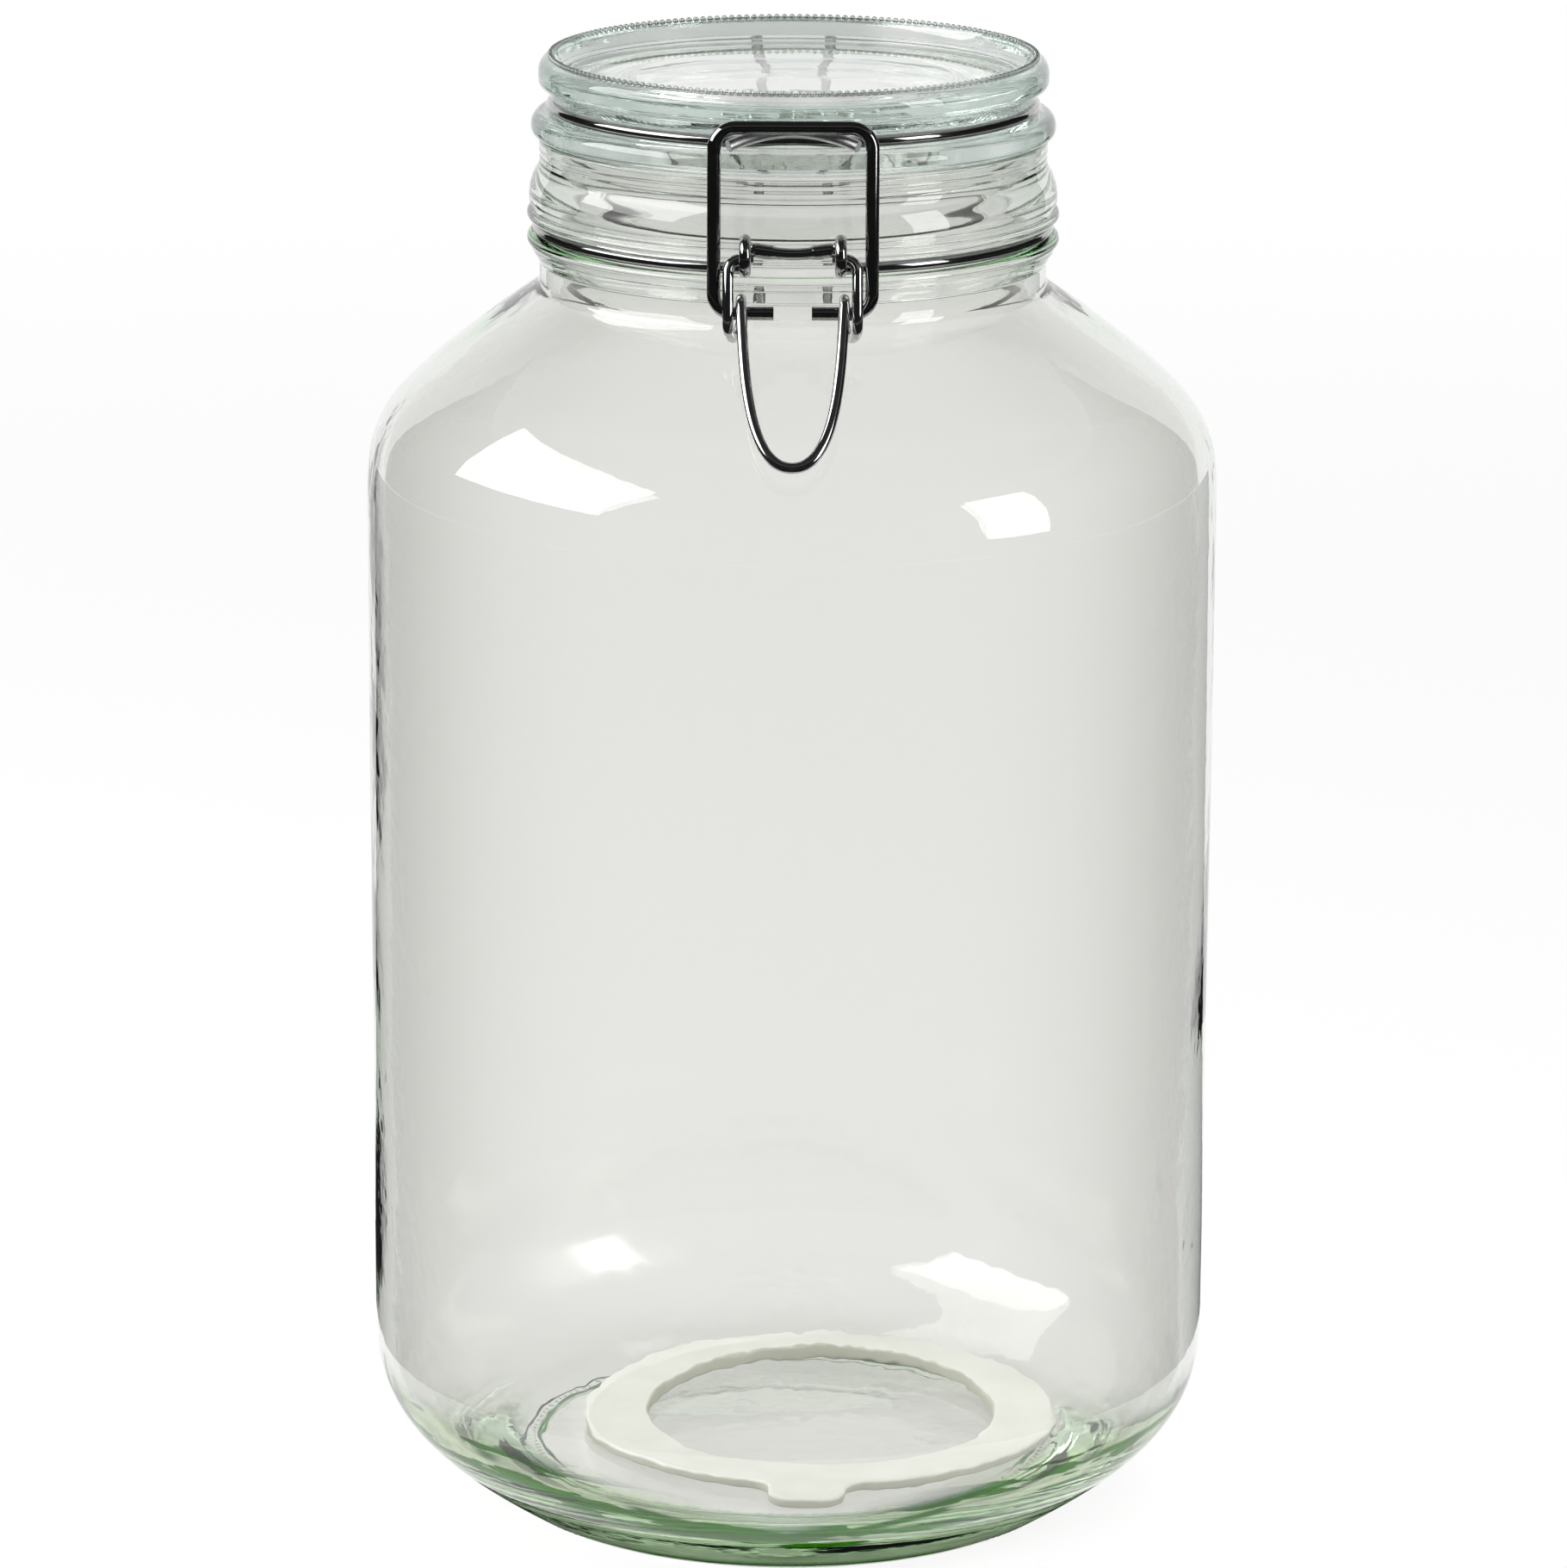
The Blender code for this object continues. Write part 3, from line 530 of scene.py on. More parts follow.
def glass_finish(name, plain, slant_shade, heel, streaks, neck, wave, green, density):
    """Pressed bottle glass, with its tints, painted shade where it is met at a slant and in the heel, its
    waviness and its absorption.
    """
    finish = bpy.data.materials.new(name)
    graph = Graph(finish)
    side, behind, level = [graph.along(axis) for axis in "XYZ"]
    across = side.math("ABSOLUTE", side)
    out = graph.from_upright()
    facing = graph.node("ShaderNodeLayerWeight", {}, {"Blend": SLANT}, "Facing")
    waves = graph.noise(BROAD_WAVE, 1.0, BROAD_WAVE_STRETCH) + graph.noise(FINE_WAVE) * FINE_WAVE_SHARE
    swell = WAVE_AT_HEEL - level.within(*WAVE_CALMS) * (WAVE_AT_HEEL - 1)
    ripple = graph.bump(waves * swell, wave, WAVE_DEPTH)

    # painted shade in the heel: darker green with dark streaks and a dark crest line for light caught in the
    # thick glass, and a painted contact shadow line at the foot
    heel_shade_share, over_crest = painted_heel_mask(graph, level, across, out, facing)
    heel_shade_tone = graph.mix(heel_shade_streaks(graph, level, across, over_crest), heel, streaks)
    in_neck = level.within(*NECK_TINT_LEVEL) * out.within(*NECK_TINT_RADIUS)
    patches = graph.noise(NECK_PATCHES[0]).between(*NECK_PATCHES[1:]) * NECK_PATCH_SHARE
    # painted shade: the glass is darker where it is met at a slant, partly from the longer path through the
    # wall
    body_tone = graph.mix(facing.between(*SLANT_TINTS), plain, slant_shade)
    tone = graph.mix(in_neck, body_tone, graph.mix(patches, neck, plain))
    tone = graph.mix(heel_shade_share, tone, heel_shade_tone)
    cloudy = (1 - side.within(*CLOUDY_SIDE)) * (1 - level.within(*CLOUDY_LEVEL)) * behind.within(*CLOUDY_BACK)
    surface = graph.surface(
        Base_Color=tone, Roughness=cloudy * CLOUDY_ROUGHNESS, IOR=BENDING,
        Transmission_Weight=1.0, Normal=ripple,
    )
    depth = graph.node("ShaderNodeVolumeAbsorption", {}, {"Color": green, "Density": density})
    graph.finish(surface, depth)
    return finish


body_glass = glass_finish(
    "jar body glass", plain=(0.912, 0.905, 0.894, 1.0), slant_shade=(0.72, 0.715, 0.695, 1.0),
    heel=(0.42, 0.51, 0.31, 1.0), streaks=(0.002, 0.045, 0.0, 1.0), neck=(0.74, 0.75, 0.73, 1.0),
    wave=0.35, green=(0.5, 0.88, 0.5, 1.0), density=4.5,
)
cover_glass = glass_finish(
    "lid glass", plain=(0.98, 0.975, 0.97, 1.0), slant_shade=(0.92, 0.93, 0.92, 1.0),
    heel=(0.9, 0.9, 0.9, 1.0), streaks=(0.9, 0.9, 0.9, 1.0), neck=(0.56, 0.59, 0.57, 1.0),
    wave=0.3, green=(0.62, 0.93, 0.80, 1.0), density=3.0,
)
print("glass:", body_glass.name, "and", cover_glass.name)

# %% [markdown]
# ## The jar
#
# The body is nearly straight, with a small taper. Its heel rolls in to a narrow standing ring, and its
# shoulder sweeps up to the neck. The neck carries three beads: the two lower ones hold the wire ring
# between them. Above them the wall draws in by a hollow to a nearly straight lip with faint ridges, which
# the mould left. The floor inside is thick, with a big round corner, and the underside is hardly domed.

# %% The jar's outline
STANDING = 55.8
STANDING_WIDTH = 2.8
STANDING_LEVEL = 0.35
UNDERSIDE = 51.0
UNDERSIDE_LEVEL = 1.5
DOME = 1.0
HEEL = 36.4
SHOULDER_FOOT = 208.5
SHOULDER_TOP = 253.6
NECK = 50.7
NECK_FOOT_RUN = 4.4
NECK_FOOT_BEND = 2.2
COLLAR = ((NECK, 256.9), (NECK, 258.4), (52.3, 261.0))
COLLAR_BEND = 1.6
RING_LEVEL = 265.45
GROOVE_WIDTH = 3.1
GROOVE_FLOOR = 49.55
BEADS = ((262.9, 1.0, 53.2), (267.9, 0.9, 53.2), (271.0, 1.5, 52.8))
BEAD_VALLEY = (52.35, 269.1)
FLANK = {"reach": 52.8, "level": 271.2, "radius": 11.0, "turn_deg": 31.0}
HOLLOW_RADIUS = 4.0
LIP = 283.4
LIP_ROUND = 0.9
LIP_RADIUS = 50.8
LIP_WALL = 50.6
LIP_FLARE = 0.2 / 12
RIDGE_DEPTH = 0.07
RIDGE_STEP = 0.3
RIDGE_TURN = 1.3
LIP_RIDGES = 9
NECK_BORE = 46.1
BORE_FOOT = 263.0
BORE_BEND = 9.0
BORE_END_RISE = 1.0
BORE_RIPPLES = (282.0, 260.0)
BORE_RIPPLE_DEPTH = 0.07
BORE_RIPPLE_TURN = 0.55
BORE_RINGS = 60
FLOOR_MIDDLE = 30.0
DOME_RINGS = 20
BODY_RINGS = 8
HEEL_SHARES = ((0.67, 0.34), (1.0, 0.56))
SHOULDER_SHARES = ((0.98, 0.53), (1.0, 0.61))
STANDING_SHARES = ((0.4, 0.0), (0.6, 1.0))


def inset(points, depth):
    """The profile moved inwards by the wall's thickness."""
    moved = []
    for index, (radius, height) in enumerate(points):
        before = Vector(points[max(index - 1, 0)])
        after = Vector(points[min(index + 1, len(points) - 1)])
        along = (after - before).normalized()
        moved.append((radius - along.y * depth, height + along.x * depth))
    return moved


def underside_outline():
    """The hardly domed underside and the step down to the standing ring."""
    points = []
    for step in range(DOME_RINGS + 1):
        share = step / DOME_RINGS
        points.append((UNDERSIDE * share, UNDERSIDE_LEVEL + DOME / 2 * (1 + math.cos(math.pi * share))))
    foot = (STANDING - STANDING_WIDTH, STANDING_LEVEL)
    return points + shared_cubic((UNDERSIDE, UNDERSIDE_LEVEL), foot, STANDING_SHARES, 8)[1:]


def lip_outline():
    """The wall above the beads: a round flank, a hollow, and the ridged wall under the lip."""
    turn = math.radians(FLANK["turn_deg"])
    centre = (FLANK["reach"] - FLANK["radius"], FLANK["level"])
    flank = arc(centre, FLANK["radius"], 0, FLANK["turn_deg"], 16)
    middle = (flank[-1][0] + HOLLOW_RADIUS * math.cos(turn), flank[-1][1] + HOLLOW_RADIUS * math.sin(turn))
    hollow = arc(middle, HOLLOW_RADIUS, 180 + FLANK["turn_deg"], 180, 8)
    wall = []
    for step in range(1, LIP_RIDGES + 1):
        flare = LIP_FLARE * step
        ridge = RIDGE_DEPTH * math.sin(step * RIDGE_TURN)
        wall.append((LIP_WALL + flare + ridge, hollow[-1][1] + RIDGE_STEP * step))
    return flank + hollow[1:] + wall


def bore_outline():
    """The neck's bore from the top down, with the slight waves of pressed glass."""
    points = []
    for step in range(1, BORE_RINGS):
        share = step / BORE_RINGS
        wave = math.sin(math.pi * share) * (1 + math.sin(step * BORE_RIPPLE_TURN))
        height = BORE_RIPPLES[0] + (BORE_RIPPLES[1] - BORE_RIPPLES[0]) * share
        points.append((NECK_BORE + BORE_RIPPLE_DEPTH * wave, height))
    return points


heel = shared_cubic((STANDING, STANDING_LEVEL), (BODY - TAPER, HEEL), HEEL_SHARES)
shoulder = shared_cubic((NECK, SHOULDER_TOP), (BODY, SHOULDER_FOOT), SHOULDER_SHARES)[::-1]
low_bead, middle_bead, top_bead = [arc((reach - rho, level), rho, -90, 90, 12) for level, rho, reach in BEADS]
foot = bent([shoulder[-2], (NECK, SHOULDER_TOP), (NECK, SHOULDER_TOP + NECK_FOOT_RUN)], NECK_FOOT_BEND)
collar = bent([*COLLAR, low_bead[2]], COLLAR_BEND, 6)
groove = arc((GROOVE_FLOOR + GROOVE_WIDTH / 2, RING_LEVEL), GROOVE_WIDTH / 2, 270, 90, 10)
outside = underside_outline() + heel[1:-1]
for step in range(BODY_RINGS + 1):
    share = step / BODY_RINGS
    outside.append((BODY - TAPER * (1 - share), HEEL + (SHOULDER_FOOT - HEEL) * share))
outside += shoulder[1:-2] + [tuple(point) for point in foot[:-1] + collar[:-1]]
outside += low_bead[2:] + groove + middle_bead + [BEAD_VALLEY] + top_bead[3:7] + lip_outline()
outside += arc((LIP_RADIUS - LIP_ROUND, LIP - LIP_ROUND), LIP_ROUND, 0, 90, 8)
print("outside:", len(outside), "points up to", round(max(height for _, height in outside), 1))

# %% Jar body
inner_shoulder = [point for point in inset(shoulder, WALL) if point[0] > NECK_BORE][::-1]
bore_end = (NECK_BORE, inner_shoulder[0][1] + BORE_END_RISE)
bore_bend = bent([(NECK_BORE, BORE_FOOT), bore_end, inner_shoulder[8]], BORE_BEND, 16)
inside = arc((NECK_BORE + LIP_ROUND, LIP - LIP_ROUND), LIP_ROUND, 90, 180, 8) + bore_outline()
inside += [tuple(point) for point in bore_bend[1:]] + inner_shoulder[9:]
inside += arc((corner_radius, corner_level), FLOOR_CORNER, 0, -90, 24) + [(FLOOR_MIDDLE, FLOOR), (0, FLOOR)]
jar = turned("jar_body", outside + inside, body_glass)
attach(jar, "jar")
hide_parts("glass_jar")
jar.visible_shadow = False
print("jar:", len(jar.data.polygons), "faces, inner radius", round(inner_radius, 1))

# %% [markdown]
# ## Small bumps in a ring
#
# Two places carry many small bumps: the edge of the lid, and the ring that the jar stands on. Both are one
# idea, a bump copied round a circle, so one Geometry Nodes tree makes both. Its inputs are the count,
# the circle's size and level, and the bump's size. The tree ends in real geometry with its material.

# %% Geometry Nodes: a ring of bumps
def node_group(name, inputs):
    """An empty Geometry Nodes tree with named inputs and one geometry output."""
    tree = bpy.data.node_groups.new(name, "GeometryNodeTree")
    for label, kind in inputs:
        tree.interface.new_socket(label, in_out="INPUT", socket_type=kind)
    tree.interface.new_socket("Geometry", in_out="OUTPUT", socket_type="NodeSocketGeometry")
    return tree


def add_node(tree, kind, links):
    """Add a node whose inputs are numbers or other nodes' outputs."""
    made = tree.nodes.new(kind)
    for key, value in links.items():
        if hasattr(value, "is_output"):
            tree.links.new(value, made.inputs[key])
        else:
            made.inputs[key].default_value = value
    return made


def grown(base, tree, values):
    """The plain mesh that a tree makes from an object with the given input values."""
    modifier = base.modifiers.new(tree.name, "NODES")
    modifier.node_group = tree
    for item in tree.interface.items_tree:
        if item.in_out == "INPUT" and item.name in values:
            modifier[item.identifier] = values[item.name]
    bpy.context.view_layer.update()
    ready = base.evaluated_get(bpy.context.evaluated_depsgraph_get())
    mesh = bpy.data.meshes.new_from_object(ready)
    base.modifiers.clear()
    return mesh


BUMP_SEGMENTS = 8
BUMP_RINGS = 5
bump_tree = node_group("ring of bumps", [
    ("Geometry", "NodeSocketGeometry"), ("Count", "NodeSocketInt"), ("Ring radius", "NodeSocketFloat"),
    ("Level", "NodeSocketFloat"), ("Bump radius", "NodeSocketFloat"), ("Flatness", "NodeSocketFloat"),
    ("Finish", "NodeSocketMaterial"),
])
given = bump_tree.nodes.new("NodeGroupInput").outputs
circle = add_node(
    bump_tree, "GeometryNodeMeshCircle", {"Vertices": given["Count"], "Radius": given["Ring radius"]}
)
rise = add_node(bump_tree, "ShaderNodeCombineXYZ", {"Z": given["Level"]})
lifted = add_node(
    bump_tree, "GeometryNodeSetPosition", {"Geometry": circle.outputs[0], "Offset": rise.outputs[0]}
)
ball = add_node(
    bump_tree, "GeometryNodeMeshUVSphere",
    {"Segments": BUMP_SEGMENTS, "Rings": BUMP_RINGS, "Radius": given["Bump radius"]},
)
squash = add_node(bump_tree, "ShaderNodeCombineXYZ", {"X": 1.0, "Y": 1.0, "Z": given["Flatness"]})
copies = add_node(
    bump_tree, "GeometryNodeInstanceOnPoints",
    {"Points": lifted.outputs[0], "Instance": ball.outputs[0], "Scale": squash.outputs[0]},
)
real = add_node(bump_tree, "GeometryNodeRealizeInstances", {"Geometry": copies.outputs[0]})
round_shaded = add_node(bump_tree, "GeometryNodeSetShadeSmooth", {"Geometry": real.outputs[0]})
painted = add_node(
    bump_tree, "GeometryNodeSetMaterial", {"Geometry": round_shaded.outputs[0], "Material": given["Finish"]}
)
bump_tree.links.new(painted.outputs[0], bump_tree.nodes.new("NodeGroupOutput").inputs[0])


def bump_ring(name, count, radius, level, bump, flatness, finish):
    """One finished ring of bumps, sizes in millimetres."""
    base = bpy.data.objects.new(name + "_base", bpy.data.meshes.new(name))
    scene.collection.objects.link(base)
    mesh = grown(base, bump_tree, {
        "Count": count, "Ring radius": radius * MM, "Level": level * MM,
        "Bump radius": bump * MM, "Flatness": flatness, "Finish": finish,
    })
    bpy.data.objects.remove(base, do_unlink=True)
    made = bpy.data.objects.new(name, mesh)
    scene.collection.objects.link(made)
    print(name + ":", count, "bumps,", len(mesh.polygons), "faces")
    return made


KNURLS = 150
KNURL_RING = 53.6
KNURL_LEVEL = 0.5
KNURL = 0.45
KNURL_FLATNESS = 0.7

knurl = bump_ring("standing_knurl", KNURLS, KNURL_RING, KNURL_LEVEL, KNURL, KNURL_FLATNESS, body_glass)
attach(knurl, "jar")
knurl.visible_shadow = False

# %% [markdown]
# ## The lid
#
# The lid is a heavy pressing: a rim that overhangs a groove, the groove for the wire ring, a flange that sits
# over the lip, and a shallow plug below, on to which the rubber ring is stretched. The panel on top lies a
# little lower than the rim, behind a hollow curve, and its middle is bare. Fine beads run round the edge.

# %% Lid
LID_BASE = 283.7
LID_TOP = 300.0
PLUG = 36.2
PLUG_WALL = 2.8
PLUG_DEPTH = 1.8
PLUG_FILLET = 2.0
PLUG_ROUND = 0.7
PLUG_BEVEL = 0.3
FLANGE = 52.35
FLANGE_ROUNDS = (1.5, 2.6)
LID_GROOVE_FLOOR = 46.55
LID_GROOVE_RISE = 4.6
LID_GROOVE_WIDTH = 2.9
GROOVE_EDGE = (2.0, 0.15)
LID_RING_LEVEL = 289.75
RIM = 50.9
RIM_RISE = 9.5
RIM_ROUND = 1.6
BELLY_RISE = 12.4
BELLY_STEP_DEG = 4.0
BELLY_RINGS = 20
EDGE = 48.4
EDGE_ROUND = 0.5
BEAD_RISE = 0.55
PANEL = 43.7
PANEL_LEVEL = 295.9
PANEL_UNDER = 290.9
PANEL_MIDDLE = 30.0
PANEL_SHARES = ((0.3, 0.8), (0.55, 1.0))

plug_foot = LID_BASE - PLUG_DEPTH + PLUG_ROUND
plug_bore = PLUG - PLUG_WALL
groove_low = LID_BASE + LID_GROOVE_RISE
groove_high = groove_low + LID_GROOVE_WIDTH
groove_half = LID_GROOVE_WIDTH / 2
rim_foot = LID_BASE + RIM_RISE
belly = LID_BASE + BELLY_RISE
edge_level = LID_TOP - BEAD_RISE - EDGE_ROUND
edge_reach = EDGE + EDGE_ROUND
lid_profile = [(0, PANEL_UNDER)]
lid_profile += arc((plug_bore - PLUG_FILLET, PANEL_UNDER - PLUG_FILLET), PLUG_FILLET, 90, 0, 8)
lid_profile += arc((plug_bore + PLUG_ROUND, plug_foot), PLUG_ROUND, 180, 270, 6)
lid_profile += arc((PLUG - PLUG_ROUND, plug_foot), PLUG_ROUND, 270, 360, 6)
lid_profile += [(PLUG, LID_BASE - PLUG_BEVEL), (PLUG + PLUG_BEVEL, LID_BASE)]
lid_profile += arc((FLANGE - FLANGE_ROUNDS[0], LID_BASE + FLANGE_ROUNDS[0]), FLANGE_ROUNDS[0], -90, 0, 10)
lid_profile += arc((FLANGE - FLANGE_ROUNDS[1], groove_low - FLANGE_ROUNDS[1]), FLANGE_ROUNDS[1], 0, 90, 12)
lid_profile += arc((LID_GROOVE_FLOOR + groove_half, groove_low + groove_half), groove_half, 270, 90, 12)
lid_profile += [(LID_GROOVE_FLOOR + GROOVE_EDGE[0], groove_high + GROOVE_EDGE[1])]
lid_profile += arc((RIM - RIM_ROUND, rim_foot + RIM_ROUND), RIM_ROUND, -90, 0, 10)
for step in range(BELLY_RINGS):
    turn = math.radians(BELLY_STEP_DEG * step)
    side = edge_reach + (RIM - edge_reach) * math.cos(turn)
    lid_profile.append((side, belly + (edge_level - belly) * math.sin(turn)))
lid_profile += arc((EDGE, edge_level), EDGE_ROUND, 0, 180, 8)
lid_profile += shared_cubic((EDGE - EDGE_ROUND, edge_level), (PANEL, PANEL_LEVEL), PANEL_SHARES)[1:]
lid_profile += [(PANEL_MIDDLE, PANEL_LEVEL), (0, PANEL_LEVEL)]
lid = turned("lid_body", lid_profile, cover_glass)
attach(lid, "lid")
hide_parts("glass_lid")
lid.visible_shadow = False
print("lid:", len(lid.data.polygons), "faces")

# %% Beads on the lid's edge
EDGE_BEADS = 195
EDGE_BEAD = 0.64
EDGE_BEAD_DROP = 0.66

beads = bump_ring("lid_edge_beads", EDGE_BEADS, EDGE, LID_TOP - EDGE_BEAD_DROP, EDGE_BEAD, 1.0, cover_glass)
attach(beads, "lid")
beads.visible_shadow = False

# %% [markdown]
# ## Plated wire
#
# The clamp is bright steel wire, drawn, bent and plated. Drawn wire has faint marks along its length, and
# plating has a soft cloudiness. The metal is a plain grey, and its black and white come from the cards and
# the softboxes. Its grey is painted per wire: darker on the bail and the two rings, as painted shade, and
# much lighter on the catch, as painted light. The catch is also duller than the rest.

# %% Steel finish
def wire_finish(name, level, polish, haze):
    """Bright plated steel wire."""
    finish = bpy.data.materials.new(name)
    graph = Graph(finish)
    cloud = graph.noise(2.6, 3.0)
    scratch = graph.noise(0.35, 3.0)
    tone = graph.mix(cloud.between(0.3, 0.75), grey(level * 0.9), grey(level * 1.05))
    marks = graph.bump(scratch + cloud, 0.1, 0.04)
    surface = graph.surface(Base_Color=tone, Metallic=1.0, Roughness=polish + cloud * haze, Normal=marks)
    graph.finish(surface)
    return finish


# painted shade on the bail and the rings, painted light on the catch: the same plated steel set to different
# greys
bail_steel_painted_darker = wire_finish("bail wire", level=0.28, polish=0.03, haze=0.06)
lever_steel = wire_finish("lever wire", level=0.55, polish=0.04, haze=0.08)
ring_steel_painted_darker = wire_finish("ring wire", level=0.36, polish=0.04, haze=0.07)
catch_steel_painted_lighter = wire_finish("catch wire", level=0.9, polish=0.3, haze=0.1)
print("steel:", ", ".join(steel.name for steel in (bail_steel_painted_darker, lever_steel, ring_steel_painted_darker, catch_steel_painted_lighter)))

# %% [markdown]
# ## Bending wire
#
# Each wire is a path of points, written as bends, arcs and straight runs. A second Geometry Nodes tree
# carries a round profile along it and closes the ends. Only half of each path is written, because every
# wire here is the same on the left and on the right.

# %% Geometry Nodes: a wire along a path
SHORTEST_RUN = 0.02
SHARP_DEG = 50.0
wire_tree = node_group("wire along a path", [
    ("Geometry", "NodeSocketGeometry"), ("Thickness", "NodeSocketFloat"), ("Sides", "NodeSocketInt"),
    ("Finish", "NodeSocketMaterial"),
])
given = wire_tree.nodes.new("NodeGroupInput").outputs
line = add_node(wire_tree, "GeometryNodeMeshToCurve", {"Mesh": given["Geometry"]})
swell = wire_tree.nodes.new("GeometryNodeInputNamedAttribute")
swell.data_type = "FLOAT"
swell.inputs["Name"].default_value = "swell"
half_thick = add_node(wire_tree, "ShaderNodeMath", {0: given["Thickness"], 1: 0.5})
half_thick.operation = "MULTIPLY"
section = add_node(
    wire_tree, "GeometryNodeCurvePrimitiveCircle",
    {"Resolution": given["Sides"], "Radius": half_thick.outputs[0]},
)
tube = add_node(wire_tree, "GeometryNodeCurveToMesh", {
    "Curve": line.outputs[0], "Profile Curve": section.outputs[0], "Scale": swell.outputs[0],
    "Fill Caps": True,
})
round_shaded = add_node(wire_tree, "GeometryNodeSetShadeSmooth", {"Geometry": tube.outputs[0]})
real = add_node(wire_tree, "GeometryNodeRealizeInstances", {"Geometry": round_shaded.outputs[0]})
painted = add_node(
    wire_tree, "GeometryNodeSetMaterial", {"Geometry": real.outputs[0], "Material": given["Finish"]}
)
wire_tree.links.new(painted.outputs[0], wire_tree.nodes.new("NodeGroupOutput").inputs[0])


def mirrored(half):
    """A whole path from its half on the right side."""
    other = [Vector((-point[0], point[1], point[2])) for point in reversed(half[1:])]
    return other + [Vector(point) for point in half]


def wire(name, path, thickness, body, node, finish, closed=False, swell=None, sides=20):
    """A finished wire that stands for its solid."""
    points = [Vector(point) for point in path]
    kept = [points[0]]
    sizes = [swell[0] if swell else 1.0]
    for index, point in enumerate(points[1:], 1):
        if (point - kept[-1]).length > SHORTEST_RUN:
            kept.append(point)
            sizes.append(swell[index] if swell else 1.0)
    mesh = bpy.data.meshes.new(name)
    edges = [(i, i + 1) for i in range(len(kept) - 1)]
    if closed:
        edges.append((len(kept) - 1, 0))
    mesh.from_pydata([point * MM for point in kept], edges, [])
    mesh.attributes.new("swell", "FLOAT", "POINT").data.foreach_set("value", sizes)
    base = bpy.data.objects.new(name + "_path", mesh)
    scene.collection.objects.link(base)
    tube_mesh = grown(base, wire_tree, {"Thickness": thickness * MM, "Sides": sides, "Finish": finish})
    bpy.data.objects.remove(base, do_unlink=True)
    tube_mesh.set_sharp_from_angle(angle=math.radians(SHARP_DEG))
    made = bpy.data.objects.new(name, tube_mesh)
    scene.collection.objects.link(made)
    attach(made, body)
    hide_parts(node)
    low = min(vertex.co.z for vertex in tube_mesh.vertices) / MM
    print(name + ":", len(kept), "points,", len(tube_mesh.polygons), "faces, lowest", round(low, 1))


def ring_point(radius, height, turn):
    """A point on a level ring, turned from the front towards the right."""
    return Vector((radius * math.sin(turn), -radius * math.cos(turn), height))


def upright_arc(side, centre, radius, start_deg, end_deg, steps=24):
    """Points of an arc in an upright plane that faces sideways."""
    return [Vector((side, *point)) for point in arc(centre, radius, start_deg, end_deg, steps)]


# %% [markdown]
# ## The two ring wires
#
# The neck ring lies between the two lower beads. At the front it curls into two eyes that carry the lever,
# and a sagging bridge joins them. At the back it steps out into a straight axle. The lid ring lies in the
# lid's groove, with a small bulge at the front for the catch, and two legs that coil round the axle.

# %% Neck ring
RUN = 0.3
BEND = 2.0
NECK_WIRE = 2.3
RING_RADIUS = 51.0
EYE = Vector((9.25, -56.6, 269.1))
EYE_RADIUS = 3.1
EYE_START_DEG = 70.0
BRIDGE_FRONT = 54.45
BRIDGE_SAG = 0.7
BRIDGE_DEPTH = 0.7
BRIDGE_SWELL = 0.25
SWELL_STARTS = (3.4, 4.2)
SWELL_ENDS = (7.6, 8.2)
HINGE_BACK = 57.2
HINGE_LEVEL = 269.5
AXLE_SPREAD = 11.5

start = math.radians(EYE_START_DEG)
eye = upright_arc(EYE.x, EYE.yz, EYE_RADIUS, EYE_START_DEG, EYE_START_DEG + 180, 28)
rise = Vector((0, -math.sin(start), math.cos(start)))
bridge_end = (EYE.x - BEND, -BRIDGE_FRONT + BRIDGE_SAG / 2, EYE.z + BRIDGE_SAG)
bridge = cubic(
    (0, -BRIDGE_FRONT, EYE.z), (EYE.x / 4, -BRIDGE_FRONT, EYE.z),
    (EYE.x / 2, bridge_end[1], EYE.z + BRIDGE_SAG / 2), bridge_end, 20,
)
turn_up = cubic(
    bridge_end, (EYE.x, bridge_end[1], bridge_end[2] + BRIDGE_SAG / 2), eye[0] - rise * BEND / 2, eye[0], 10
)
first = math.asin((EYE.x + BEND * 2) / RING_RADIUS)
last = math.pi - math.asin((AXLE_SPREAD + BEND) / RING_RADIUS)
leave = math.sqrt(RING_RADIUS ** 2 - EYE.x ** 2)
back = math.sqrt((RING_RADIUS + BEND) ** 2 - AXLE_SPREAD ** 2)
half = bridge[:-1] + turn_up[:-1] + eye[:-1]
half += bent([
    eye[-1], (EYE.x, EYE.y + BEND, RING_LEVEL), (EYE.x, -leave, RING_LEVEL),
    ring_point(RING_RADIUS, RING_LEVEL, first),
], BEND / 2)[:-1]
half += [ring_point(RING_RADIUS, RING_LEVEL, first + (last - first) * step / 110) for step in range(110)]
half += bent([
    ring_point(RING_RADIUS, RING_LEVEL, last), (AXLE_SPREAD, back, RING_LEVEL),
    (AXLE_SPREAD, HINGE_BACK, RING_LEVEL), (AXLE_SPREAD, HINGE_BACK, HINGE_LEVEL),
    (0, HINGE_BACK, HINGE_LEVEL),
], BEND)
neck_path = mirrored(half)[:-1]


def ramp(value, low, high):
    """A share that grows from 0 at low to 1 at high."""
    return min(max((value - low) / (high - low), 0), 1)


def bridge_swell(point):
    """The bridge is pressed thick beside each eye and thins towards its middle."""
    side = abs(point.x)
    if point.y > BRIDGE_DEPTH - BRIDGE_FRONT or side > EYE.x - BEND / 2:
        return 1.0
    return 1.0 + BRIDGE_SWELL * ramp(side, *SWELL_STARTS) * (1 - ramp(side, *SWELL_ENDS))


wire(
    "neck_ring_wire", neck_path, NECK_WIRE, "jar", "neck_ring", ring_steel_painted_darker,
    closed=True, swell=[bridge_swell(point) for point in neck_path],
)

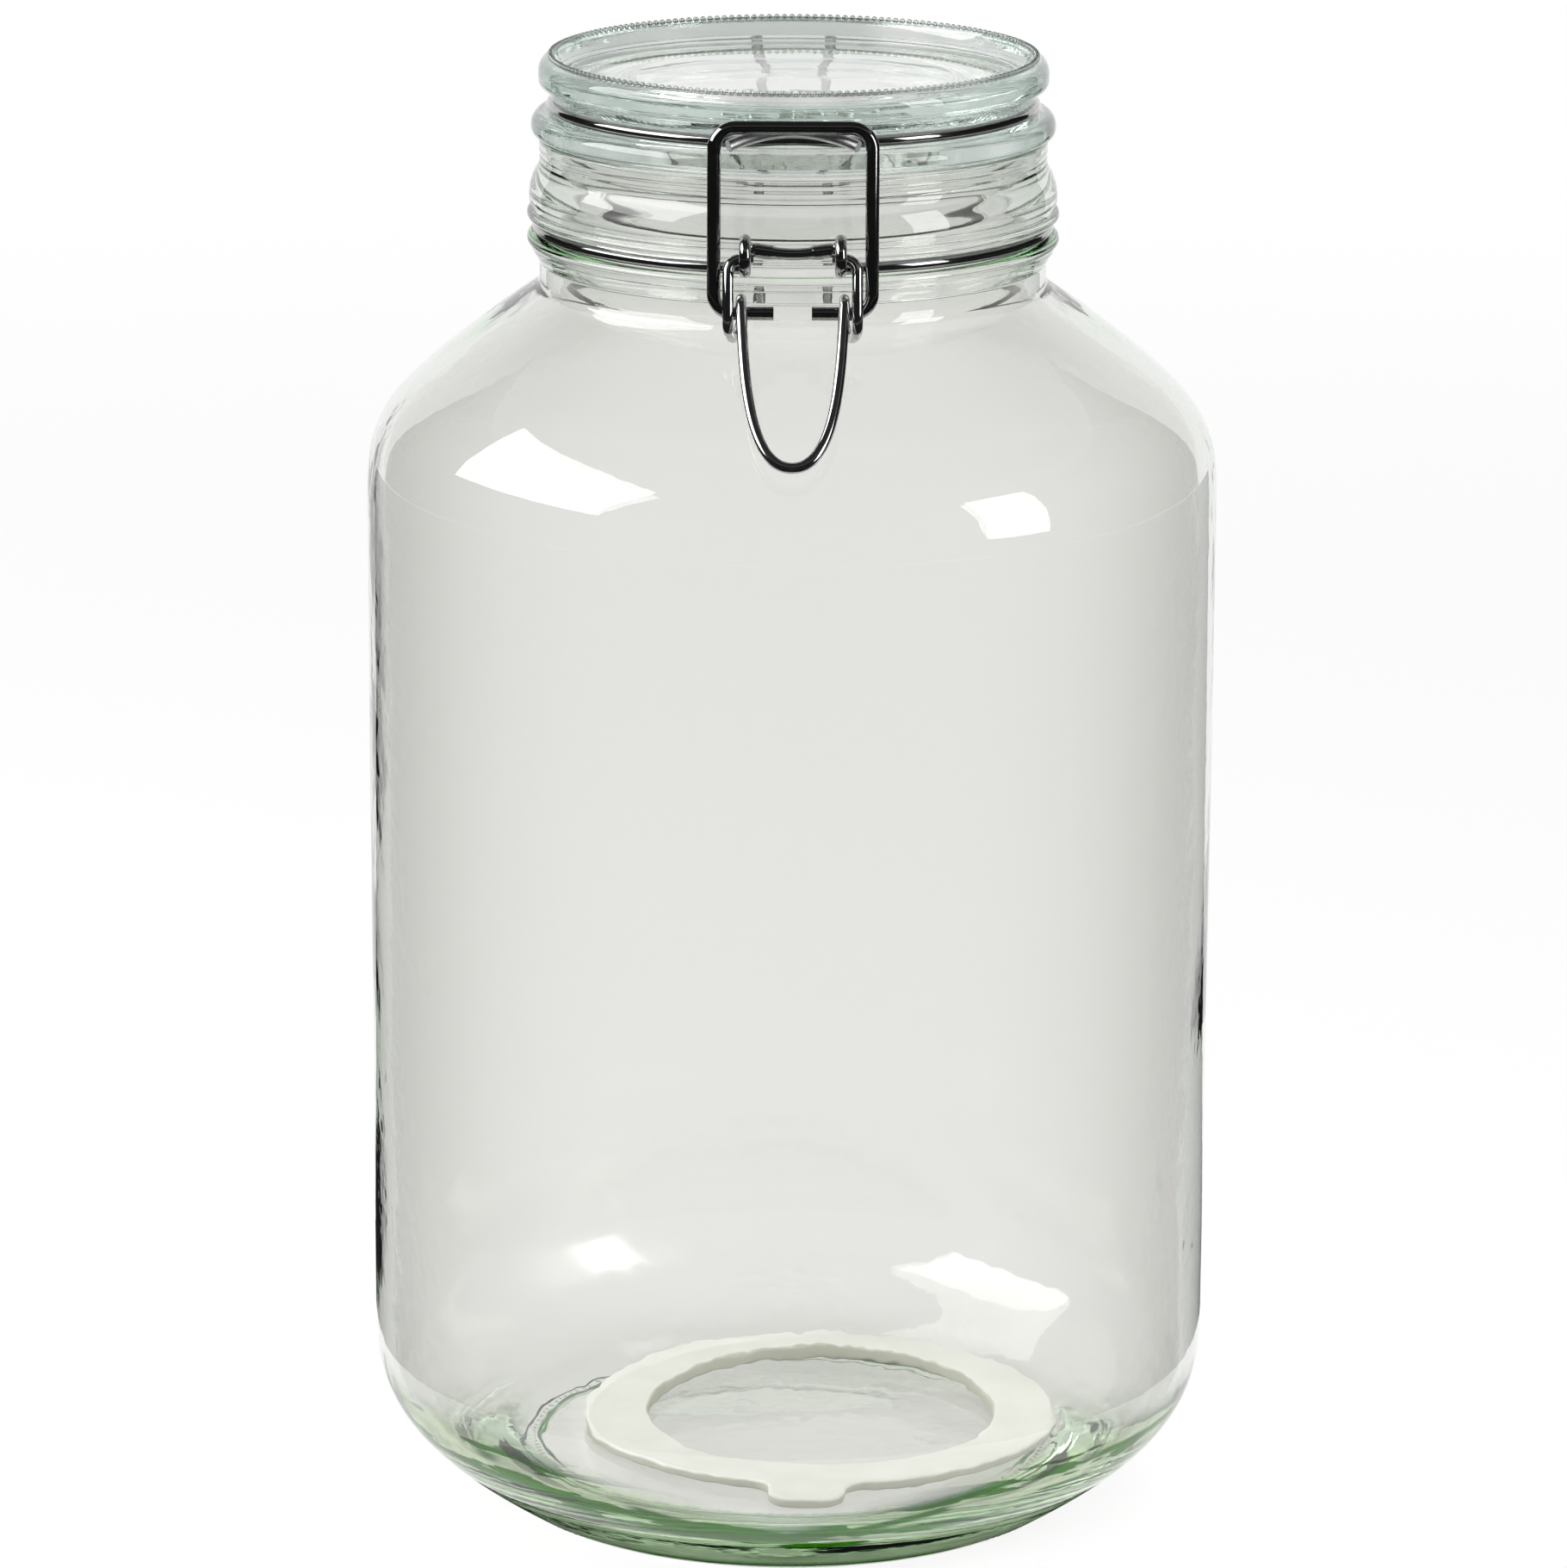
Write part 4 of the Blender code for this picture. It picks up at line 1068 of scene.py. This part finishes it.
# %% Lid ring and catch
LID_WIRE = 2.3
LID_RING_RADIUS = 48.0
LEG_SPREAD = 7.5
BULGE_HALF = 12.0
BULGE_OUT = 1.6
BULGE_UP = 0.95
COIL_END_DEG = 470.0
CATCH_WIRE = 2.4
CATCH_HALF = 12.5
CATCH_CREST = (-51.52, 292.52)
CATCH_BACK = 3.4
CATCH_DROP = 2.3

coil = (LID_WIRE + NECK_WIRE) / 2 + RUN
leg = HINGE_BACK - coil
last = math.pi - math.asin((LEG_SPREAD + BEND) / LID_RING_RADIUS)
half = []
for step in range(121):
    turn = last * step / 120
    side = LID_RING_RADIUS * math.sin(turn) / BULGE_HALF
    bulge = math.cos(side * math.pi / 2) ** 2 if turn < math.pi / 2 and side < 1 else 0
    half.append(ring_point(LID_RING_RADIUS + BULGE_OUT * bulge, LID_RING_LEVEL + BULGE_UP * bulge, turn))
half += bent([
    half.pop(), (LEG_SPREAD, math.sqrt(LID_RING_RADIUS ** 2 - LEG_SPREAD ** 2), LID_RING_LEVEL),
    (LEG_SPREAD, leg, LID_RING_LEVEL), (LEG_SPREAD, leg, HINGE_LEVEL + BEND),
], BEND)
half += upright_arc(LEG_SPREAD, (HINGE_BACK, HINGE_LEVEL), coil, 180, COIL_END_DEG, 48)
wire("lid_ring_wire", mirrored(half), LID_WIRE, "lid", "lid_ring", ring_steel_painted_darker)

half = []
for step in range(25):
    share = step / 24
    fall = share * share
    half.append((CATCH_HALF * share, CATCH_CREST[0] - CATCH_BACK * fall, CATCH_CREST[1] - CATCH_DROP * fall))
wire("catch_wire", mirrored(half), CATCH_WIRE, "lid", "lid_catch", catch_steel_painted_lighter)

# %% [markdown]
# ## The bail and the lever
#
# The bail is a tall rectangle with round corners, open at the foot, where two pins turn in. Its bar hooks
# over the catch. The lever starts with a pin in each eye, drops, makes a full loop round the bail's pin and
# runs down into a narrow handle. Pulling the handle down draws the bail's pins down past the eyes.

# %% Bail and lever
BAIL_WIRE = 2.7
BAIL_SPREAD = 15.3
BAIL_CORNER = 4.2
BAIL_FOOT = 3.8
BAIL_PIN_END = 3.7
BAR = (-54.97, 293.87)
PIN = Vector((-57.6, 258.05))
PIVOT = (-56.6, 268.55)
LEVER_WIRE = 2.2
LEVER_SPREAD = 12.5
LEVER_CORNER = 2.4
LEVER_PIN_END = 7.6
LEVER_INNER = 10.0
LEVER_LENGTH = 35.0
LEVER_LEAN_DEG = 39.22
HANDLE_SHARES = ((0.07, 0.33), (0.08, 1.0))
LOOP_DROP = 1.9

middle = ((BAR[0] + PIN.x) / 2, (BAR[1] + PIN.y) / 2)
half = bent([(0, *BAR), (BAIL_SPREAD, *BAR), (BAIL_SPREAD, *middle)], BAIL_CORNER, 16)[:-1]
half += bent([(BAIL_SPREAD, *middle), (BAIL_SPREAD, *PIN), (BAIL_PIN_END, *PIN)], BAIL_FOOT, 12)
wire("bail_wire", mirrored(half), BAIL_WIRE, "bail", "bail", bail_steel_painted_darker)

coil = (LEVER_WIRE + BAIL_WIRE) / 2 + RUN
lean = math.radians(LEVER_LEAN_DEG)
down = Vector((-math.sin(lean), -math.cos(lean)))
crest = PIN + Vector((-math.cos(lean), math.sin(lean))) * coil
outline = shared_cubic((LEVER_INNER, 0), (0, LEVER_LENGTH), HANDLE_SHARES, 48)[::-1]
half = [Vector((side, *(crest + down * along))) for side, along in outline]
half += upright_arc(LEVER_INNER, PIN, coil, 180 - LEVER_LEAN_DEG, 0, 22)[1:]
under = arc((PIN.x, PIN.y - LOOP_DROP), coil, 0, -180, 26)
for index, point in enumerate(under):
    share = index / (len(under) - 1)
    share = share * share * (3 - 2 * share)
    half.append(Vector((LEVER_INNER + (LEVER_SPREAD - LEVER_INNER) * share, *point)))
half += bent([
    (LEVER_SPREAD, PIN.x - coil, PIN.y + LOOP_DROP), (LEVER_SPREAD, *PIVOT), (LEVER_PIN_END, *PIVOT),
], LEVER_CORNER, 10)
wire("lever_wire", mirrored(half), LEVER_WIRE, "lever", "lever", lever_steel)

# %% [markdown]
# ## The rubber ring
#
# The seal is cut from natural rubber: ivory, matt and a little soft at the edges. Its cut walls and its
# underside are painted darker than its top face, as painted shade. It lies loose on the floor, off centre,
# with its pull tab towards the camera and its far side resting a little higher. Its outline is a round edge,
# a tab with hollow roots, and a round bore, filled and given thickness, with its edges rounded.

# %% Rubber finish
GASKET = 48.9
GASKET_BORE = 35.8
GASKET_THICK = 2.8
GASKET_LEVEL = 13.3
GASKET_SHIFT = 6.8
FACE_STARTS = (15.0, 15.7)
BORE_WALL = (35.9, 36.4)

rubber = bpy.data.materials.new("ivory rubber")
graph = Graph(rubber)
cloud = graph.noise(11.0, 3.0)
grain = graph.noise(0.5, 4.0)
face_tone = graph.mix(cloud.between(0.3, 0.7), (0.625, 0.63, 0.585, 1.0), (0.67, 0.675, 0.635, 1.0))
# painted shade: the cut walls, the bore wall and the underside get a darker tone than the top face
above_wall_shade = graph.along("Z").within(*FACE_STARTS)
outside_bore_shade = graph.from_upright(GASKET_SHIFT).within(*BORE_WALL)
tone = graph.mix((1 - above_wall_shade).larger(1 - outside_bore_shade), face_tone, (0.43, 0.435, 0.37, 1.0))
graph.finish(graph.surface(
    Base_Color=tone, Roughness=0.5 + cloud * 0.12, Normal=graph.bump(grain + cloud * 0.5, 0.25, 0.08)
))
print("rubber:", rubber.name)

# %% Rubber ring
GASKET_EDGE = 0.7
EDGE_STEPS = 4
TAB_HALF = 7.6
TAB_ROUND = 5.2
TAB_LENGTH = 9.6
TAB_TURN_DEG = -3.2
FAR_LIFT = 1.3
FAR_LIFT_POWER = 1.5
RING_STEPS = 140
WELD = 0.001

spread = math.degrees(math.asin((TAB_HALF + 2 * TAB_ROUND) / GASKET))
root = -math.sqrt(GASKET ** 2 - TAB_HALF ** 2)
end = -GASKET - TAB_LENGTH
edge = arc((0, 0), GASKET, spread - 90, 270 - spread, RING_STEPS)
tab_corners = [(-TAB_HALF, root), (-TAB_HALF, end), (TAB_HALF, end), (TAB_HALF, root)]
tab = bent([edge[-1]] + tab_corners + [edge[0]], TAB_ROUND, 12)
outer = [Vector(point) for point in edge] + [Vector(point) for point in tab[1:-1]]
bore = [Vector(point) for point in arc((0, 0), GASKET_BORE, 0, 360, RING_STEPS)[:-1]]


def drawn_in(loop, depth):
    """A loop moved towards its left side, which is inside for a loop that runs anticlockwise."""
    moved = []
    for index, point in enumerate(loop):
        along = (loop[(index + 1) % len(loop)] - loop[index - 1]).normalized()
        moved.append(point + Vector((-along.y, along.x)) * depth)
    return moved


rounded = []
for step in range(EDGE_STEPS + 1):
    turn = math.radians(90 * (1 - step / EDGE_STEPS))
    rounded.append((GASKET_EDGE * (1 - math.cos(turn)), GASKET_EDGE * (1 - math.sin(turn))))
ladder = rounded + [(depth, GASKET_THICK - level) for depth, level in reversed(rounded)]
work = bmesh.new()
walls = []
for loop, sign in ((outer, 1), (bore, -1)):
    rings = []
    for depth, level in ladder:
        rings.append([work.verts.new((*(point * MM), level * MM)) for point in drawn_in(loop, depth * sign)])
    walls.append(rings)
    for low_ring, high_ring in zip(rings, rings[1:]):
        for index in range(len(low_ring)):
            after = (index + 1) % len(low_ring)
            work.faces.new((low_ring[index], low_ring[after], high_ring[after], high_ring[index]))
for face_side in (0, -1):
    rims = []
    for rings in walls:
        ring = rings[face_side]
        rims += [work.edges.get((ring[i], ring[(i + 1) % len(ring)])) for i in range(len(ring))]
    bmesh.ops.triangle_fill(work, edges=rims, use_beauty=True)
bmesh.ops.remove_doubles(work, verts=work.verts, dist=WELD * MM)
bmesh.ops.recalc_face_normals(work, faces=work.faces)
for vertex in work.verts:
    radius = math.hypot(vertex.co.x, vertex.co.y) / MM
    far = max(vertex.co.y / MM / radius, 0) ** FAR_LIFT_POWER
    vertex.co.z += FAR_LIFT * MM * far * (GASKET - radius) / (GASKET - GASKET_BORE)
tab_turn = Matrix.Rotation(math.radians(TAB_TURN_DEG), 4, "Z")
placed = Matrix.Translation((GASKET_SHIFT * MM, 0, GASKET_LEVEL * MM)) @ tab_turn
bmesh.ops.transform(work, matrix=placed, verts=work.verts)
gasket_mesh = bpy.data.meshes.new("rubber_ring")
work.to_mesh(gasket_mesh)
work.free()
gasket_mesh.materials.append(rubber)
gasket_mesh.shade_smooth()
gasket_mesh.set_sharp_from_angle(angle=math.radians(SHARP_DEG))
gasket = bpy.data.objects.new("rubber_ring", gasket_mesh)
scene.collection.objects.link(gasket)
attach(gasket, "gasket")
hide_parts("gasket")
print("rubber ring:", len(gasket_mesh.polygons), "faces")
